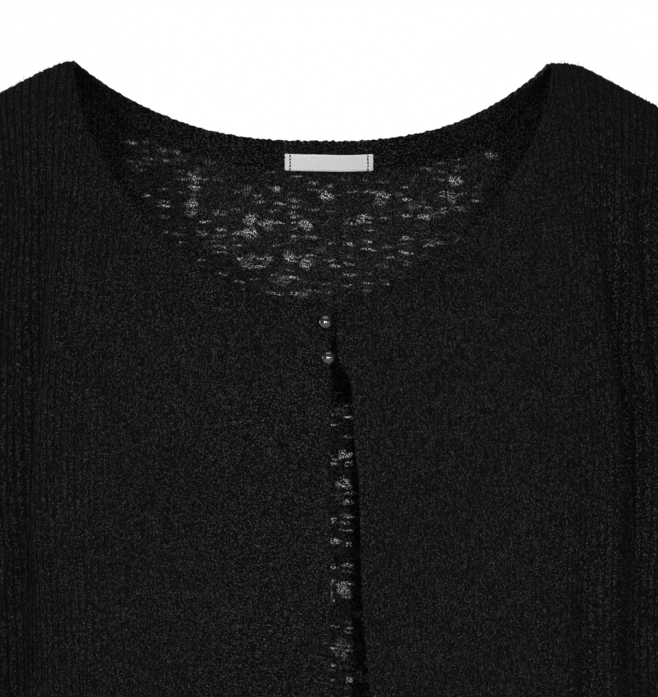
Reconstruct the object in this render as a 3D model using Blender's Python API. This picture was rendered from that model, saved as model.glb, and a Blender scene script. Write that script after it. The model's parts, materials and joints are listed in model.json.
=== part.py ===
"""Black rib-knit cardigan, worn and hollow: a wide scoop neck with two ball buttons, fronts parting below.

The wearer faces -Y, +Z is up, and the origin lies between the neck points on the shoulder line.
Lengths are in metres. side is -1 for the wearer's right, at -X, and +1 for the wearer's left.
facing is -1 on the fronts and +1 on the back. A place on the body's cloth is a share of its width, from
the middle (0) to the side seam (1), and the length of cloth down from the shoulder line.
"""

import math

import bmesh
import bpy
import numpy as np
from mathutils import Vector

# Cloth
WALL = 0.0013               # cloth at a groove between two ribs
RIB_HEIGHT = 0.0007         # how far a rib's crest stands over its grooves
RIB_PITCH = 0.0041
RIBS_PER_INNER_COLUMN = 2   # the plain inside has one column for this many ribs
CORNER_COLUMNS = (-0.030, -0.012, 0.012)    # more inside columns by the neck's corner, as shares
LEAST_COLUMN_STEP = 0.009   # least share of the width between two inside columns
SEAM = 0.0003               # gap between two pieces

# Body, worn: half width and the depths in front of and behind the middle plane, at each height
BODY_SECTIONS = [
    # height, half_width, front_depth, back_depth
    (-0.580, 0.214, 0.108, 0.099),
    (-0.430, 0.205, 0.102, 0.089),
    (-0.320, 0.203, 0.106, 0.090),
    (-0.215, 0.205, 0.111, 0.095),
    (-0.140, 0.203, 0.104, 0.092),
    (-0.060, 0.204, 0.084, 0.084),
    (0.020, 0.204, 0.070, 0.074),
]
SECTION_POWER = 2.3         # 2 is an ellipse, more is squarer
HEM_HEIGHT = -0.580
LOWER_ROWS = (-0.140, -0.235, -0.340, -0.455)

# Shoulders and neck
SHOULDER_ROUND = 0.070      # drop in which the cloth turns from the shoulder seam to upright
SHOULDER_SLOPE = 0.52
SHOULDER_FLAT_HALF = 0.143  # half width of the near level part, between the two slopes
SHOULDER_MIDDLE = -0.0053   # and where its middle is
SHOULDER_LEVEL = -0.0013    # height of the cloth's inside there
SHOULDER_TILT = 0.006       # the wearer's left shoulder is lower by this slope
SHOULDER_BEND = 0.006       # length over which the level part turns into the slope
SHOULDER_ROWS = 3           # rows of points in that turn
LEAST_TURN_STEP = 0.010     # least length between two rows in the turn, and below it
LEAST_ROW_STEP = 0.016
NECK_SHIFT = -0.009         # the neck sits a little towards the wearer's right
NECK_HALF_WIDTH = 0.1335
FRONT_NECK_DROP = 0.1377
BACK_NECK_DROP = 0.0404
FRONT_NECK_POWERS = (1.8, 1.6)
BACK_NECK_POWERS = (2.42, 1.0)
BACK_NECK_FULLER = 0.45     # more in the first power on the wearer's left, where the curve is fuller
BACK_NECK_SHIFT = -0.0015   # the back's neck sits this much further towards the wearer's right
LEFT_FRONT_RAISED = 0.004   # the wearer's left front stands this much higher at the buttons
LEFT_FRONT_RAISED_WIDTH = 0.050

# Armholes
ARMHOLE_TIP_X = 0.190
ARMHOLE_TIP_HEIGHT = -0.024
ARMHOLE_INNER_X = 0.178
ARMHOLE_INNER_HEIGHT = -0.100
UNDERARM_HEIGHT = -0.215

# Opening: distance of the wearer's left front's edge from the middle, at each height
OPENING = [
    # height, distance
    (-0.580, 0.0340),
    (-0.348, 0.0220),
    (-0.296, 0.0177),
    (-0.2315, 0.0156),
    (-0.205, 0.0129),
    (-0.183, 0.0118),
    (-0.175, 0.0097),
    (-0.170, 0.0064),
    (-0.162, 0.0043),
    (-0.151, 0.0043),
    (0.000, 0.0043),
]
RIGHT_EDGE = 0.0010         # the wearer's right front ends here, past the middle
EDGE_STRIP = 0.0060         # turned edge of a front, smooth and as thick as a crest
EDGE_STRIP_LEVEL = 0.9      # share of that strip before it falls to the first groove

# Upright folds: where on the cloth, as a share of its width, their half width, and how far they stand out
# (+) or sink in (-) at the underarm and at the hem
FRONT_FOLDS = [
    # side, place, half_width, at_underarm, at_hem
    (-1, 0.70, 0.085, -0.0045, -0.0100),
    (-1, 0.55, 0.075, 0.0010, 0.0060),
    (-1, 0.86, 0.080, 0.0050, 0.0090),
    (-1, 0.28, 0.090, 0.0000, -0.0050),
    (1, 0.66, 0.080, -0.0060, -0.0110),
    (1, 0.52, 0.070, 0.0000, -0.0060),
    (1, 0.59, 0.050, 0.0010, 0.0040),
    (1, 0.82, 0.085, 0.0060, 0.0080),
    (1, 0.25, 0.085, 0.0000, 0.0050),
]
BACK_FOLDS = [
    # side, place, half_width, at_underarm, at_hem
    (-1, 0.68, 0.085, -0.0050, -0.0110),
    (-1, 0.84, 0.080, 0.0050, 0.0085),
    (-1, 0.40, 0.090, 0.0010, 0.0070),
    (-1, 0.16, 0.080, 0.0000, -0.0060),
    (1, 0.72, 0.080, -0.0045, -0.0090),
    (1, 0.56, 0.075, 0.0010, 0.0070),
    (1, 0.87, 0.075, 0.0045, 0.0080),
    (1, 0.30, 0.085, 0.0000, -0.0065),
]
FOLDS_START = -0.060

# Sleeve rings, from the armhole to the cuff: the outer and the inner point of each, seen from the front,
# with its half depth, its middle's place from front to back, and how much of the armhole's shape it keeps
SLEEVE_RINGS = [
    # outer_x, outer_z, inner_x, inner_z, half_depth, middle_y, armhole_share
    (0.1900, -0.0240, 0.2055, -0.2150, 0.0500, 0.000, 1.00),
    (0.2250, -0.0440, 0.2120, -0.2190, 0.0550, 0.000, 0.55),
    (0.2590, -0.0850, 0.2170, -0.2300, 0.0560, -0.001, 0.22),
    (0.2860, -0.1450, 0.2230, -0.2480, 0.0540, -0.003, 0.06),
    (0.3060, -0.2200, 0.2310, -0.2760, 0.0510, -0.005, 0.00),
    (0.3280, -0.3600, 0.2480, -0.3750, 0.0470, -0.010, 0.00),
    (0.3450, -0.4700, 0.2690, -0.4760, 0.0430, -0.018, 0.00),
    (0.3560, -0.5800, 0.2860, -0.5760, 0.0390, -0.028, 0.00),
]
SLEEVE_RIBS = 80
SLEEVE_CREASES = [
    # angle_deg round the sleeve from its outer line by the front, half_width_deg, depth at each ring
    (150.0, 28.0, (0.0, 0.002, 0.004, 0.005, 0.003, 0.001, 0.000, 0.0)),
    (215.0, 30.0, (0.0, 0.002, 0.005, 0.004, 0.002, 0.000, 0.001, 0.0)),
    (75.0, 26.0, (0.0, 0.001, 0.002, 0.000, 0.002, 0.005, 0.002, 0.0)),
    (300.0, 28.0, (0.0, 0.001, 0.001, 0.002, 0.003, 0.004, 0.001, 0.0)),
]
FOLD_ROOM = 2.6             # room, in wall thicknesses, that a sleeve folded right back takes from the body
ARMHOLE_EASE = 0.0004       # further room where the curved edges meet facet to facet
EDGE_ROOM = 1.35            # room, in wall thicknesses, that a sleeve square to the body takes

# Neck band and label, inside the back
NECK_ROW = 0.0195           # second row of the back's points under the neck
STEEPEST_NECK = 0.8         # slope of the neck's edge above which the band grows no wider
BAND_WIDTH = 0.0150
BAND_THICK = 0.0010
BAND_INSET = 0.0006         # the band starts this far under the neck's edge
BAND_ENDS = 0.0015          # and stops this far from the shoulder seams
LABEL_WIDTH = 0.0510
LABEL_HEIGHT = 0.0100
LABEL_THICK = 0.0004
LABEL_DROP = 0.0070         # from the neck's edge to the label's top
LABEL_COLUMNS = 8

# Buttons and loops
BUTTON_RADIUS = 0.0040
BUTTONS = [
    # name, x, height
    ("upper", -0.0019, -0.1469),
    ("lower", -0.0004, -0.1660),
]
BUTTON_STANDOFF = 0.0054    # from the cloth to the ball's centre
SHANK_RADIUS = 0.0009
STRIP_SHARE = 0.01          # share of the right front's width at which the shanks meet it
LOOP_WIRE = 0.0006          # radius of the loop's cord
LOOP_RADIUS = 0.0019        # of the cord's middle line round the shank
LOOP_SPREAD = 1.1           # the loop's feet stand this much wider apart
LOOP_FOOT = 0.0030          # and this far in from the left front's edge
LOOP_TURNS = 8

COLOURS = {
    # slot: red, green, blue, roughness
    "knit": (0.012, 0.011, 0.012, 0.85),
    "label": (0.93, 0.93, 0.93, 0.60),
    "button": (0.008, 0.008, 0.009, 0.08),
    "loop": (0.010, 0.010, 0.011, 0.60),
}
SMOOTH_ANGLE = math.radians(50)

# How finely the body's form is worked out before the points are read from it
GRID_HEIGHTS = np.linspace(HEM_HEIGHT - 0.02, 0.06, 140)
GRID_SHARES = np.linspace(0.0, 1.0, 301)
HALVINGS = 34
PASSES = 4                  # for the height and width of a place to settle together
LONGEST_NECK = 0.30         # length of cloth within which the neck's edge is sought
SHORTEST_NECK = 0.0008      # and the least that counts as more than nothing
QUARTER_TURN = SHOULDER_ROUND * math.pi / 2


def clear_scene():
    for item in list(bpy.data.objects):
        bpy.data.objects.remove(item, do_unlink=True)


def make_material(slot):
    red, green, blue, roughness = COLOURS[slot]
    material = bpy.data.materials.new(slot)
    material.use_nodes = True
    shader = material.node_tree.nodes["Principled BSDF"]
    shader.inputs["Base Color"].default_value = (red, green, blue, 1.0)
    shader.inputs["Roughness"].default_value = roughness
    shader.inputs["Metallic"].default_value = 0.0
    material.diffuse_color = (red, green, blue, 1.0)
    return material


def ease(value):
    """0 below 0, 1 above 1, and a smooth step between."""
    value = np.clip(value, 0.0, 1.0)
    return value * value * (3.0 - 2.0 * value)


def bump(distance, half_width):
    """1 at the middle of a fold, falling smoothly to 0 at its half width."""
    return ease(1.0 - np.abs(distance) / half_width)


def by_height(table, height, column):
    """One column of a table of rising heights, read along a smooth curve through its rows."""
    heights = np.array([row[0] for row in table])
    values = np.array([row[column] for row in table])
    slopes = np.gradient(values, heights)
    height = np.clip(height, heights[0], heights[-1])
    i = np.clip(np.searchsorted(heights, height) - 1, 0, len(heights) - 2)
    step = heights[i + 1] - heights[i]
    t = (height - heights[i]) / step
    start = (2 * t**3 - 3 * t**2 + 1) * values[i] + (t**3 - 2 * t**2 + t) * step * slopes[i]
    end = (3 * t**2 - 2 * t**3) * values[i + 1] + (t**3 - t**2) * step * slopes[i + 1]
    return start + end


def section_grid(facing):
    """Quarter sections at the grid's heights: x, y and outward direction at its shares, and their lengths."""
    angle = np.linspace(0.0, math.pi / 2, len(GRID_SHARES))
    sheets = []
    lengths = []
    for height in GRID_HEIGHTS:
        half_width = by_height(BODY_SECTIONS, height, 1)
        depth = by_height(BODY_SECTIONS, height, 2 if facing < 0 else 3)
        curve_x = half_width * np.sin(angle) ** (2 / SECTION_POWER)
        curve_y = depth * np.maximum(np.cos(angle), 0.0) ** (2 / SECTION_POWER)
        length = np.concatenate([[0.0], np.cumsum(np.hypot(np.diff(curve_x), np.diff(curve_y)))])
        x = np.interp(GRID_SHARES * length[-1], length, curve_x)
        y = np.interp(GRID_SHARES * length[-1], length, curve_y)
        out_x = (x / half_width) ** (SECTION_POWER - 1) / half_width
        out_y = (y / depth) ** (SECTION_POWER - 1) / depth
        size = np.hypot(out_x, out_y)
        sheets.append(np.stack([x, y, out_x / size, out_y / size], axis=-1))
        lengths.append(length[-1])
    return np.array(sheets), np.array(lengths)


SECTIONS = {facing: section_grid(facing) for facing in (-1, 1)}


def section_place(facing, share, height):
    """x, y and outward direction on the section at a height, read between the grid's points."""
    sheets = SECTIONS[facing][0]
    row = np.interp(height, GRID_HEIGHTS, np.arange(len(GRID_HEIGHTS)))
    column = np.clip(share, 0.0, 1.0) * (len(GRID_SHARES) - 1)
    i = np.clip(row.astype(int), 0, len(GRID_HEIGHTS) - 2)
    j = np.clip(column.astype(int), 0, len(GRID_SHARES) - 2)
    s = (row - i)[..., None]
    t = (column - j)[..., None]
    upper = sheets[i, j] * (1 - t) + sheets[i, j + 1] * t
    lower = sheets[i + 1, j] * (1 - t) + sheets[i + 1, j + 1] * t
    return upper * (1 - s) + lower * s


def shoulder_level(x):
    return SHOULDER_LEVEL - SHOULDER_TILT * (x - SHOULDER_MIDDLE)


def ridge_height(x):
    """Height of the shoulder line at x: nearly level at the neck, then sloping."""
    past = np.abs(x - SHOULDER_MIDDLE) - SHOULDER_FLAT_HALF
    return shoulder_level(x) - SHOULDER_SLOPE * 0.5 * (past + np.sqrt(past * past + SHOULDER_BEND**2))


def armhole_fan(x, height):
    """How far the cloth near the armhole spreads outwards above the armhole's innermost point."""
    across = ease((np.abs(x) - NECK_HALF_WIDTH) / (ARMHOLE_INNER_X - NECK_HALF_WIDTH))
    upward = (height - ARMHOLE_INNER_HEIGHT) / (ARMHOLE_TIP_HEIGHT - ARMHOLE_INNER_HEIGHT)
    return (ARMHOLE_TIP_X - ARMHOLE_INNER_X) * across * np.clip(upward, 0.0, 1.2) ** 1.5


def fold_depth(side, facing, share, height):
    total = np.zeros_like(share)
    growth = ease((FOLDS_START - height) / (FOLDS_START - UNDERARM_HEIGHT))
    lower = ease((UNDERARM_HEIGHT - height) / (UNDERARM_HEIGHT - HEM_HEIGHT))
    for fold_side, place, half_width, at_underarm, at_hem in FRONT_FOLDS if facing < 0 else BACK_FOLDS:
        if fold_side == side:
            depth = growth * (at_underarm + (at_hem - at_underarm) * lower)
            total = total + depth * bump(share - place, half_width)
    return total


def section_share(side, facing, share, height):
    """Share of the section for a share of the cloth: a front starts at its own edge, not at the middle."""
    if facing > 0:
        return share
    length = np.interp(height, GRID_HEIGHTS, SECTIONS[facing][1])
    start = by_height(OPENING, height, 1) if side > 0 else -RIGHT_EDGE
    return (start + share * (length - start)) / length


def body_place(side, facing, share, height):
    """x and y of the cloth's inner surface at a height, before the shoulder turns it over."""
    inner = section_share(side, facing, share, height)
    place = section_place(facing, np.abs(inner), height)
    fold = fold_depth(side, facing, share, height)
    beyond_middle = np.where(inner < 0.0, -1.0, 1.0)
    x = side * beyond_middle * (place[..., 0] + fold * place[..., 2])
    return x + side * armhole_fan(x, height), facing * (place[..., 1] + fold * place[..., 3])


def cloth_points(side, facing, share, down):
    """Points of the inner surface of the body's cloth."""
    share = np.asarray(share, float)
    angle = np.minimum(down / SHOULDER_ROUND, math.pi / 2)
    drop = SHOULDER_ROUND * (1.0 - np.cos(angle)) + np.maximum(down - QUARTER_TURN, 0.0)
    x = np.full(share.shape, side * NECK_HALF_WIDTH)
    for _ in range(PASSES):
        height = ridge_height(x) - drop
        x, y = body_place(side, facing, share, height)
    return np.stack([x, y * np.sin(angle), height], axis=-1)


def down_at_height(side, facing, share, height):
    """Length of cloth from the shoulder line to a height."""
    share = np.asarray(share, float)
    x = body_place(side, facing, share, np.broadcast_to(height, share.shape))[0]
    drop = np.maximum(ridge_height(x) - height, 0.0)
    turned = SHOULDER_ROUND * np.arccos(np.clip(1.0 - drop / SHOULDER_ROUND, -1.0, 1.0))
    return np.where(drop < SHOULDER_ROUND, turned, QUARTER_TURN + drop - SHOULDER_ROUND)


def cloth_normals(side, facing, share, down):
    """Outward directions of the body's cloth."""
    step_share = 0.004
    step_down = 0.001
    high = np.minimum(share + step_share, 1.0)
    low = np.maximum(share - step_share, 0.0)
    along = cloth_points(side, facing, high, down) - cloth_points(side, facing, low, down)
    along[share > 1.0 - step_share / 2] = (0.0, -facing, 0.0)
    drop = cloth_points(side, facing, share, down + step_down)
    drop -= cloth_points(side, facing, share, np.maximum(down - step_down, 0.0))
    drop[down < step_down] = (0.0, facing, 0.0)
    normal = np.cross(along, drop) * (side * facing)
    return normal / np.linalg.norm(normal, axis=-1, keepdims=True)


def cloth_offset(side, facing, share, down, out):
    """Points moved out (+) or in (-) from the inner surface, clear of the shoulder and side seams."""
    points = cloth_points(side, facing, share, down)
    points = points + cloth_normals(side, facing, share, down) * np.asarray(out, float)[..., None]
    points[..., 1] += facing * SEAM / 2
    return points


def neck_height(side, facing, x):
    """Height of the neck's edge at x, seen from the front."""
    middle = NECK_SHIFT if facing < 0 else NECK_SHIFT + BACK_NECK_SHIFT
    across = np.minimum(np.abs(x - middle) / NECK_HALF_WIDTH, 1.0)
    power, rise = FRONT_NECK_POWERS if facing < 0 else BACK_NECK_POWERS
    if side > 0 and facing > 0:
        power = power + BACK_NECK_FULLER
    drop = FRONT_NECK_DROP if facing < 0 else BACK_NECK_DROP
    height = shoulder_level(x) - drop * (1.0 - across**power) ** (1.0 / rise)
    if side > 0 and facing < 0:
        height = height + LEFT_FRONT_RAISED * ease(1.0 - np.abs(x) / LEFT_FRONT_RAISED_WIDTH)
    return height


def neck_down(side, facing, share):
    """Length of cloth from the shoulder line to the neck's edge, 0 where the column reaches the shoulder."""
    low = np.zeros(share.shape)
    high = np.full(share.shape, LONGEST_NECK)
    for _ in range(HALVINGS):
        middle = 0.5 * (low + high)
        points = cloth_points(side, facing, share, middle)
        above = points[..., 2] > neck_height(side, facing, points[..., 0])
        low = np.where(above, middle, low)
        high = np.where(above, high, middle)
    return np.where(high > SHORTEST_NECK, high, 0.0)


def crossing(reaches, low, high):
    """The share between low and high past which reaches(share) is true, found by halving."""
    for _ in range(HALVINGS):
        middle = 0.5 * (low + high)
        if reaches(np.array([middle]))[0]:
            high = middle
        else:
            low = middle
    return high


def at_armhole(share):
    upright = np.full(share.shape, QUARTER_TURN)
    return np.abs(cloth_points(-1, 1, share, upright)[..., 0]) >= ARMHOLE_INNER_X


ARMHOLE_SHARE = crossing(at_armhole, 0.5, 1.0)


def neck_corner(side, facing):
    """Share at which the neck's edge meets the shoulder seam."""
    return crossing(lambda share: neck_down(side, facing, share) == 0.0, 0.2, ARMHOLE_SHARE)


def top_down(side, facing, share):
    """Length of cloth from the shoulder line to the panel's upper edge: the neck, shoulder or armhole."""
    past = np.clip((share - ARMHOLE_SHARE) / (1.0 - ARMHOLE_SHARE), 0.0, 1.0)
    curve = np.sqrt(np.maximum(1.0 - (1.0 - past) ** 2, 0.0))
    height = ARMHOLE_INNER_HEIGHT + (UNDERARM_HEIGHT - ARMHOLE_INNER_HEIGHT) * curve
    under = down_at_height(side, facing, share, height)
    return np.where(share <= ARMHOLE_SHARE, neck_down(side, facing, share), under)


def hinge_down(side, facing):
    """Length of cloth from the shoulder tip to the armhole's innermost point."""
    return down_at_height(side, facing, np.array([ARMHOLE_SHARE]), ARMHOLE_INNER_HEIGHT)[0]


def column_rows(side, facing, shares):
    """Places down each column: the upper edge, the shoulder's turn, then the rows at fixed heights."""
    tops = top_down(side, facing, shares)
    fixed = [down_at_height(side, facing, shares, height) for height in LOWER_ROWS + (HEM_HEIGHT,)]
    columns = []
    for index, top in enumerate(tops):
        rows = [top]
        if facing > 0 and 0.0 < top < QUARTER_TURN:
            rows.append(top + NECK_ROW)
        turn_end = hinge_down(side, facing) if shares[index] == ARMHOLE_SHARE else QUARTER_TURN
        for step in range(SHOULDER_ROWS):
            turned = turn_end * (step + 1) / SHOULDER_ROWS
            if turned > rows[-1] + LEAST_TURN_STEP:
                rows.append(turned)
        for row in fixed[:-1]:
            if row[index] > rows[-1] + LEAST_ROW_STEP:
                rows.append(row[index])
        columns.append(rows + [fixed[-1][index]])
    return columns


def place_columns(side, facing, shares, outs):
    """Columns of (point, place down), each moved out by its own distance.

    The column along the armhole's upper part comes twice, the second time without the rows above the
    innermost point, because the cloth past it starts there.
    """
    rows = column_rows(side, facing, np.array(shares))
    flat_share = np.concatenate([[share] * len(column) for share, column in zip(shares, rows)])
    flat_out = np.concatenate([[out] * len(column) for out, column in zip(outs, rows)])
    points = cloth_offset(side, facing, flat_share, np.concatenate(rows), flat_out)
    columns = []
    start = 0
    for share, column in zip(shares, rows):
        placed = [(tuple(points[start + index]), down) for index, down in enumerate(column)]
        columns.append((share, placed))
        if share == ARMHOLE_SHARE:
            columns.append((share, placed[SHOULDER_ROWS:]))
        start += len(column)
    return columns


def rib_columns(width, first, last):
    """Each groove's and crest's share of a width of cloth, with its height over the inner surface."""
    ribs = round((last - first) * width / RIB_PITCH)
    columns = []
    for step in range(2 * ribs):
        height = WALL + (RIB_HEIGHT if step % 2 == 1 else 0.0)
        columns.append((first + (last - first) * step / (2 * ribs), height))
    return columns + [(last, WALL)]


def spread_out(values, fixed, least):
    """The values in order, without those nearer than least to a fixed one or to the one before."""
    kept = []
    for value in sorted(set(values) | set(fixed)):
        crowded = kept and value - kept[-1] < least
        if value in fixed:
            kept = kept[:-1] if crowded and kept[-1] not in fixed else kept
            kept.append(value)
        elif not crowded:
            kept.append(value)
    return kept


def outer_columns(facing):
    """Shares and heights of the outer columns of half a front or back, from the middle to the side seam."""
    width = np.interp(UNDERARM_HEIGHT, GRID_HEIGHTS, SECTIONS[facing][1])
    strip = EDGE_STRIP / width if facing < 0 else 0.0
    last = 1.0 - SEAM / 2 / width
    crest = WALL + RIB_HEIGHT
    edge = [(0.0, crest), (strip * EDGE_STRIP_LEVEL, crest)] if facing < 0 else []
    return edge + rib_columns(width, strip, ARMHOLE_SHARE)[:-1] + rib_columns(width, ARMHOLE_SHARE, last)


def half_panel(side, facing):
    """Outer and inner columns of half of the body's front or back, from the middle to the side seam."""
    outer = outer_columns(facing)
    corner = neck_corner(side, facing)
    inner = [share for share, _ in outer[::2 * RIBS_PER_INNER_COLUMN]]
    inner += [corner + step for step in CORNER_COLUMNS]
    inner = spread_out(inner, [0.0, corner, ARMHOLE_SHARE, outer[-1][0]], LEAST_COLUMN_STEP)
    outer_sheet = place_columns(side, facing, [share for share, _ in outer], [out for _, out in outer])
    inner_sheet = place_columns(side, facing, inner, [0.0] * len(inner))
    return outer_sheet, inner_sheet


def zip_strip(faces, left, right, flip):
    """Triangles between two rows of (vertex, place), taken in the order of their places."""
    i = 0
    j = 0
    while i < len(left) - 1 or j < len(right) - 1:
        next_left = left[i + 1][1] if i < len(left) - 1 else math.inf
        next_right = right[j + 1][1] if j < len(right) - 1 else math.inf
        if next_left + left[i][1] <= next_right + right[j][1]:
            face = (left[i][0], left[i + 1][0], right[j][0])
            i += 1
        else:
            face = (left[i][0], right[j + 1][0], right[j][0])
            j += 1
        faces.append(face[::-1] if flip else face)


def number_sheet(points, sheet):
    """Adds a sheet's points to points, each once, and gives its columns of (vertex, place down)."""
    known = {}
    columns = []
    for across, column in sheet:
        numbered = []
        for point, down in column:
            if point not in known:
                known[point] = len(points)
                points.append(point)
            numbered.append((known[point], down))
        columns.append((across, numbered))
    return columns


def edge_path(columns, end):
    """The vertices along a sheet's upper (end 0) or lower (end -1) edge, with the way travelled to each."""
    travelled = columns[0][0]
    path = [(columns[0][1][end][0], travelled)]
    for before, after in zip(columns[:-1], columns[1:]):
        if after[0] != before[0]:
            travelled += after[0] - before[0]
            path.append((after[1][end][0], travelled))
        elif end == 0:
            drop_first = len(before[1]) > len(after[1])
            longer = before[1] if drop_first else after[1]
            steep = longer[:abs(len(before[1]) - len(after[1])) + 1]
            steep = steep if drop_first else steep[::-1]
            for (_, down), (vertex, next_down) in zip(steep[:-1], steep[1:]):
                travelled += abs(next_down - down)
                path.append((vertex, travelled))
    return path


def closed_wall(outer, inner, period=None):
    """Points and faces of the wall between two sheets of columns. With a period they close as tubes."""
    points = []
    faces = []
    sheets = [number_sheet(points, outer), number_sheet(points, inner)]
    if period is not None:
        for columns in sheets:
            columns.append((period, columns[0][1]))
    for columns, flip in zip(sheets, (False, True)):
        for left, right in zip(columns[:-1], columns[1:]):
            if left[0] != right[0]:
                zip_strip(faces, left[1], right[1], flip)
    for end in (0, -1):
        zip_strip(faces, edge_path(sheets[0], end), edge_path(sheets[1], end), end == 0)
        if period is None:
            zip_strip(faces, sheets[0][end][1], sheets[1][end][1], end == -1)
    return points, faces


def make_object(name, points, faces, slot, collection):
    mesh = bpy.data.meshes.new(name)
    mesh.from_pydata(points, [], faces)
    work = bmesh.new()
    work.from_mesh(mesh)
    bmesh.ops.recalc_face_normals(work, faces=work.faces)
    if work.calc_volume(signed=True) < 0:
        bmesh.ops.reverse_faces(work, faces=work.faces)
    work.to_mesh(mesh)
    work.free()
    mesh.shade_smooth()
    mesh.set_sharp_from_angle(angle=SMOOTH_ANGLE)
    mesh.materials.append(bpy.data.materials[slot])
    item = bpy.data.objects.new(name, mesh)
    collection.objects.link(item)
    return item


def make_front(side, name, collection):
    points, faces = closed_wall(*half_panel(side, -1))
    make_object(name, points, faces, "knit", collection)


def whole_back():
    """Outer and inner columns of the back, from side seam to side seam."""
    sheets = []
    for right_columns, left_columns in zip(half_panel(-1, 1), half_panel(1, 1)):
        mirrored = [(-share, column) for share, column in reversed(right_columns)]
        sheets.append(mirrored[:-1] + left_columns)
    return sheets


def make_back(sheets, collection):
    points, faces = closed_wall(*sheets)
    make_object("back", points, faces, "knit", collection)


def armhole_line(side):
    """Points and outward directions round the armhole, from the shoulder tip by the front and underarm."""
    line = []
    for facing in (-1, 1):
        down = hinge_down(side, facing) * np.arange(SHOULDER_ROWS + 1) / SHOULDER_ROWS
        under = np.array([share for share, _ in outer_columns(facing) if share > ARMHOLE_SHARE])
        shares = np.concatenate([np.full(SHOULDER_ROWS + 1, ARMHOLE_SHARE), under])
        downs = np.concatenate([down, top_down(side, facing, under)])
        points = cloth_points(side, facing, shares, downs)
        both = np.concatenate([points, cloth_normals(side, facing, shares, downs)], axis=1)
        line.append(both if facing < 0 else both[::-1][1:])
    return np.concatenate(line)


def armhole_ring(side, count):
    """Points at equal steps round the armhole, with the cloth's outward directions and ways off its edge."""
    line = armhole_line(side)
    lengths = np.concatenate([[0.0], np.cumsum(np.linalg.norm(np.diff(line[:, :3], axis=0), axis=1))])
    targets = np.linspace(0.0, lengths[-1], count, endpoint=False)
    ring = np.stack([np.interp(targets, lengths, line[:, axis]) for axis in range(6)], axis=-1)
    points = ring[:, :3]
    outward = ring[:, 3:] / np.linalg.norm(ring[:, 3:], axis=1, keepdims=True)
    edge = np.roll(points, -1, axis=0) - np.roll(points, 1, axis=0)
    away = np.cross(edge, outward)
    away /= np.linalg.norm(away, axis=1, keepdims=True)
    away *= np.sign(away[0, 0] * side)
    return points, outward, away


def plain_ring(ring, side, turns):
    outer_x, outer_z, inner_x, inner_z, half_depth, middle_y, _ = ring
    x = side * ((outer_x + inner_x) / 2 + (outer_x - inner_x) / 2 * np.cos(turns))
    y = middle_y - half_depth * np.sin(turns)
    z = (outer_z + inner_z) / 2 + (outer_z - inner_z) / 2 * np.cos(turns)
    return np.stack([x, y, z], axis=-1)


def crease_depth(turns, ring_index):
    total = np.zeros_like(turns)
    for angle, half_width, depths in SLEEVE_CREASES:
        away = (np.degrees(turns) - angle + 180.0) % 360.0 - 180.0
        total += depths[ring_index] * bump(away, half_width)
    return total


def seam_clearance(armhole, outward, away, first_ring):
    """How far the sleeve starts from the armhole: the more the cloth turns there, the more room it takes."""
    thick = WALL + RIB_HEIGHT
    onward = first_ring - armhole
    onward /= np.linalg.norm(onward, axis=1, keepdims=True)
    cosine = np.sum(onward * away, axis=1)
    beside = EDGE_ROOM * np.where(cosine > 0.0, np.sqrt(1.0 - np.minimum(cosine, 1.0) ** 2), 1.0)
    folded = FOLD_ROOM * np.maximum(-cosine, 0.0)
    return away * (SEAM + ARMHOLE_EASE + thick * beside)[:, None] + outward * (thick * folded)[:, None]


def sleeve_rings(side, count):
    """Rings of points on the sleeve's inner surface, the first one at the armhole."""
    turns = 2 * math.pi * np.arange(count) / count
    armhole, outward, away = armhole_ring(side, count)
    own_shape = armhole - plain_ring(SLEEVE_RINGS[0], side, turns)
    rings = []
    for index, ring in enumerate(SLEEVE_RINGS):
        points = plain_ring(ring, side, turns)
        towards = points.mean(axis=0) - points
        towards /= np.linalg.norm(towards, axis=1, keepdims=True)
        rings.append(points + own_shape * ring[-1] + towards * crease_depth(turns, index)[:, None])
    rings = np.array(rings)
    clearance = seam_clearance(armhole, outward, away, rings[1])
    rings[0] += clearance
    rings[1] += clearance * 0.5
    return rings


def sleeve_normals(rings):
    around = np.roll(rings, -1, axis=1) - np.roll(rings, 1, axis=1)
    along = np.gradient(rings, axis=0)
    normals = np.cross(around, along)
    normals /= np.linalg.norm(normals, axis=-1, keepdims=True)
    outward = np.sum(normals * (rings - rings.mean(axis=1, keepdims=True)), axis=-1).mean()
    return normals if outward > 0 else -normals


def make_sleeve(side, name, collection):
    count = 2 * SLEEVE_RIBS
    rings = sleeve_rings(side, count)
    normals = sleeve_normals(rings)
    outer = []
    inner = []
    for step in range(count):
        height = WALL + (RIB_HEIGHT if step % 2 == 1 else 0.0)
        lifted = rings[:, step] + normals[:, step] * height
        outer.append((step, [(tuple(point), index) for index, point in enumerate(lifted)]))
        if step % (2 * RIBS_PER_INNER_COLUMN) == 0:
            inner.append((step, [(tuple(point), index) for index, point in enumerate(rings[:, step])]))
    points, faces = closed_wall(outer, inner, period=count)
    make_object(name, points, faces, "knit", collection)


def neck_rows(inner_sheet):
    """First and second point of the back's inner columns under the neck, from right to left."""
    tops = []
    seconds = []
    for _, column in inner_sheet:
        if 0.0 < column[0][1] < QUARTER_TURN:
            tops.append(column[0][0])
            seconds.append(column[1][0])
    return np.array(tops), np.array(seconds)


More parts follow.
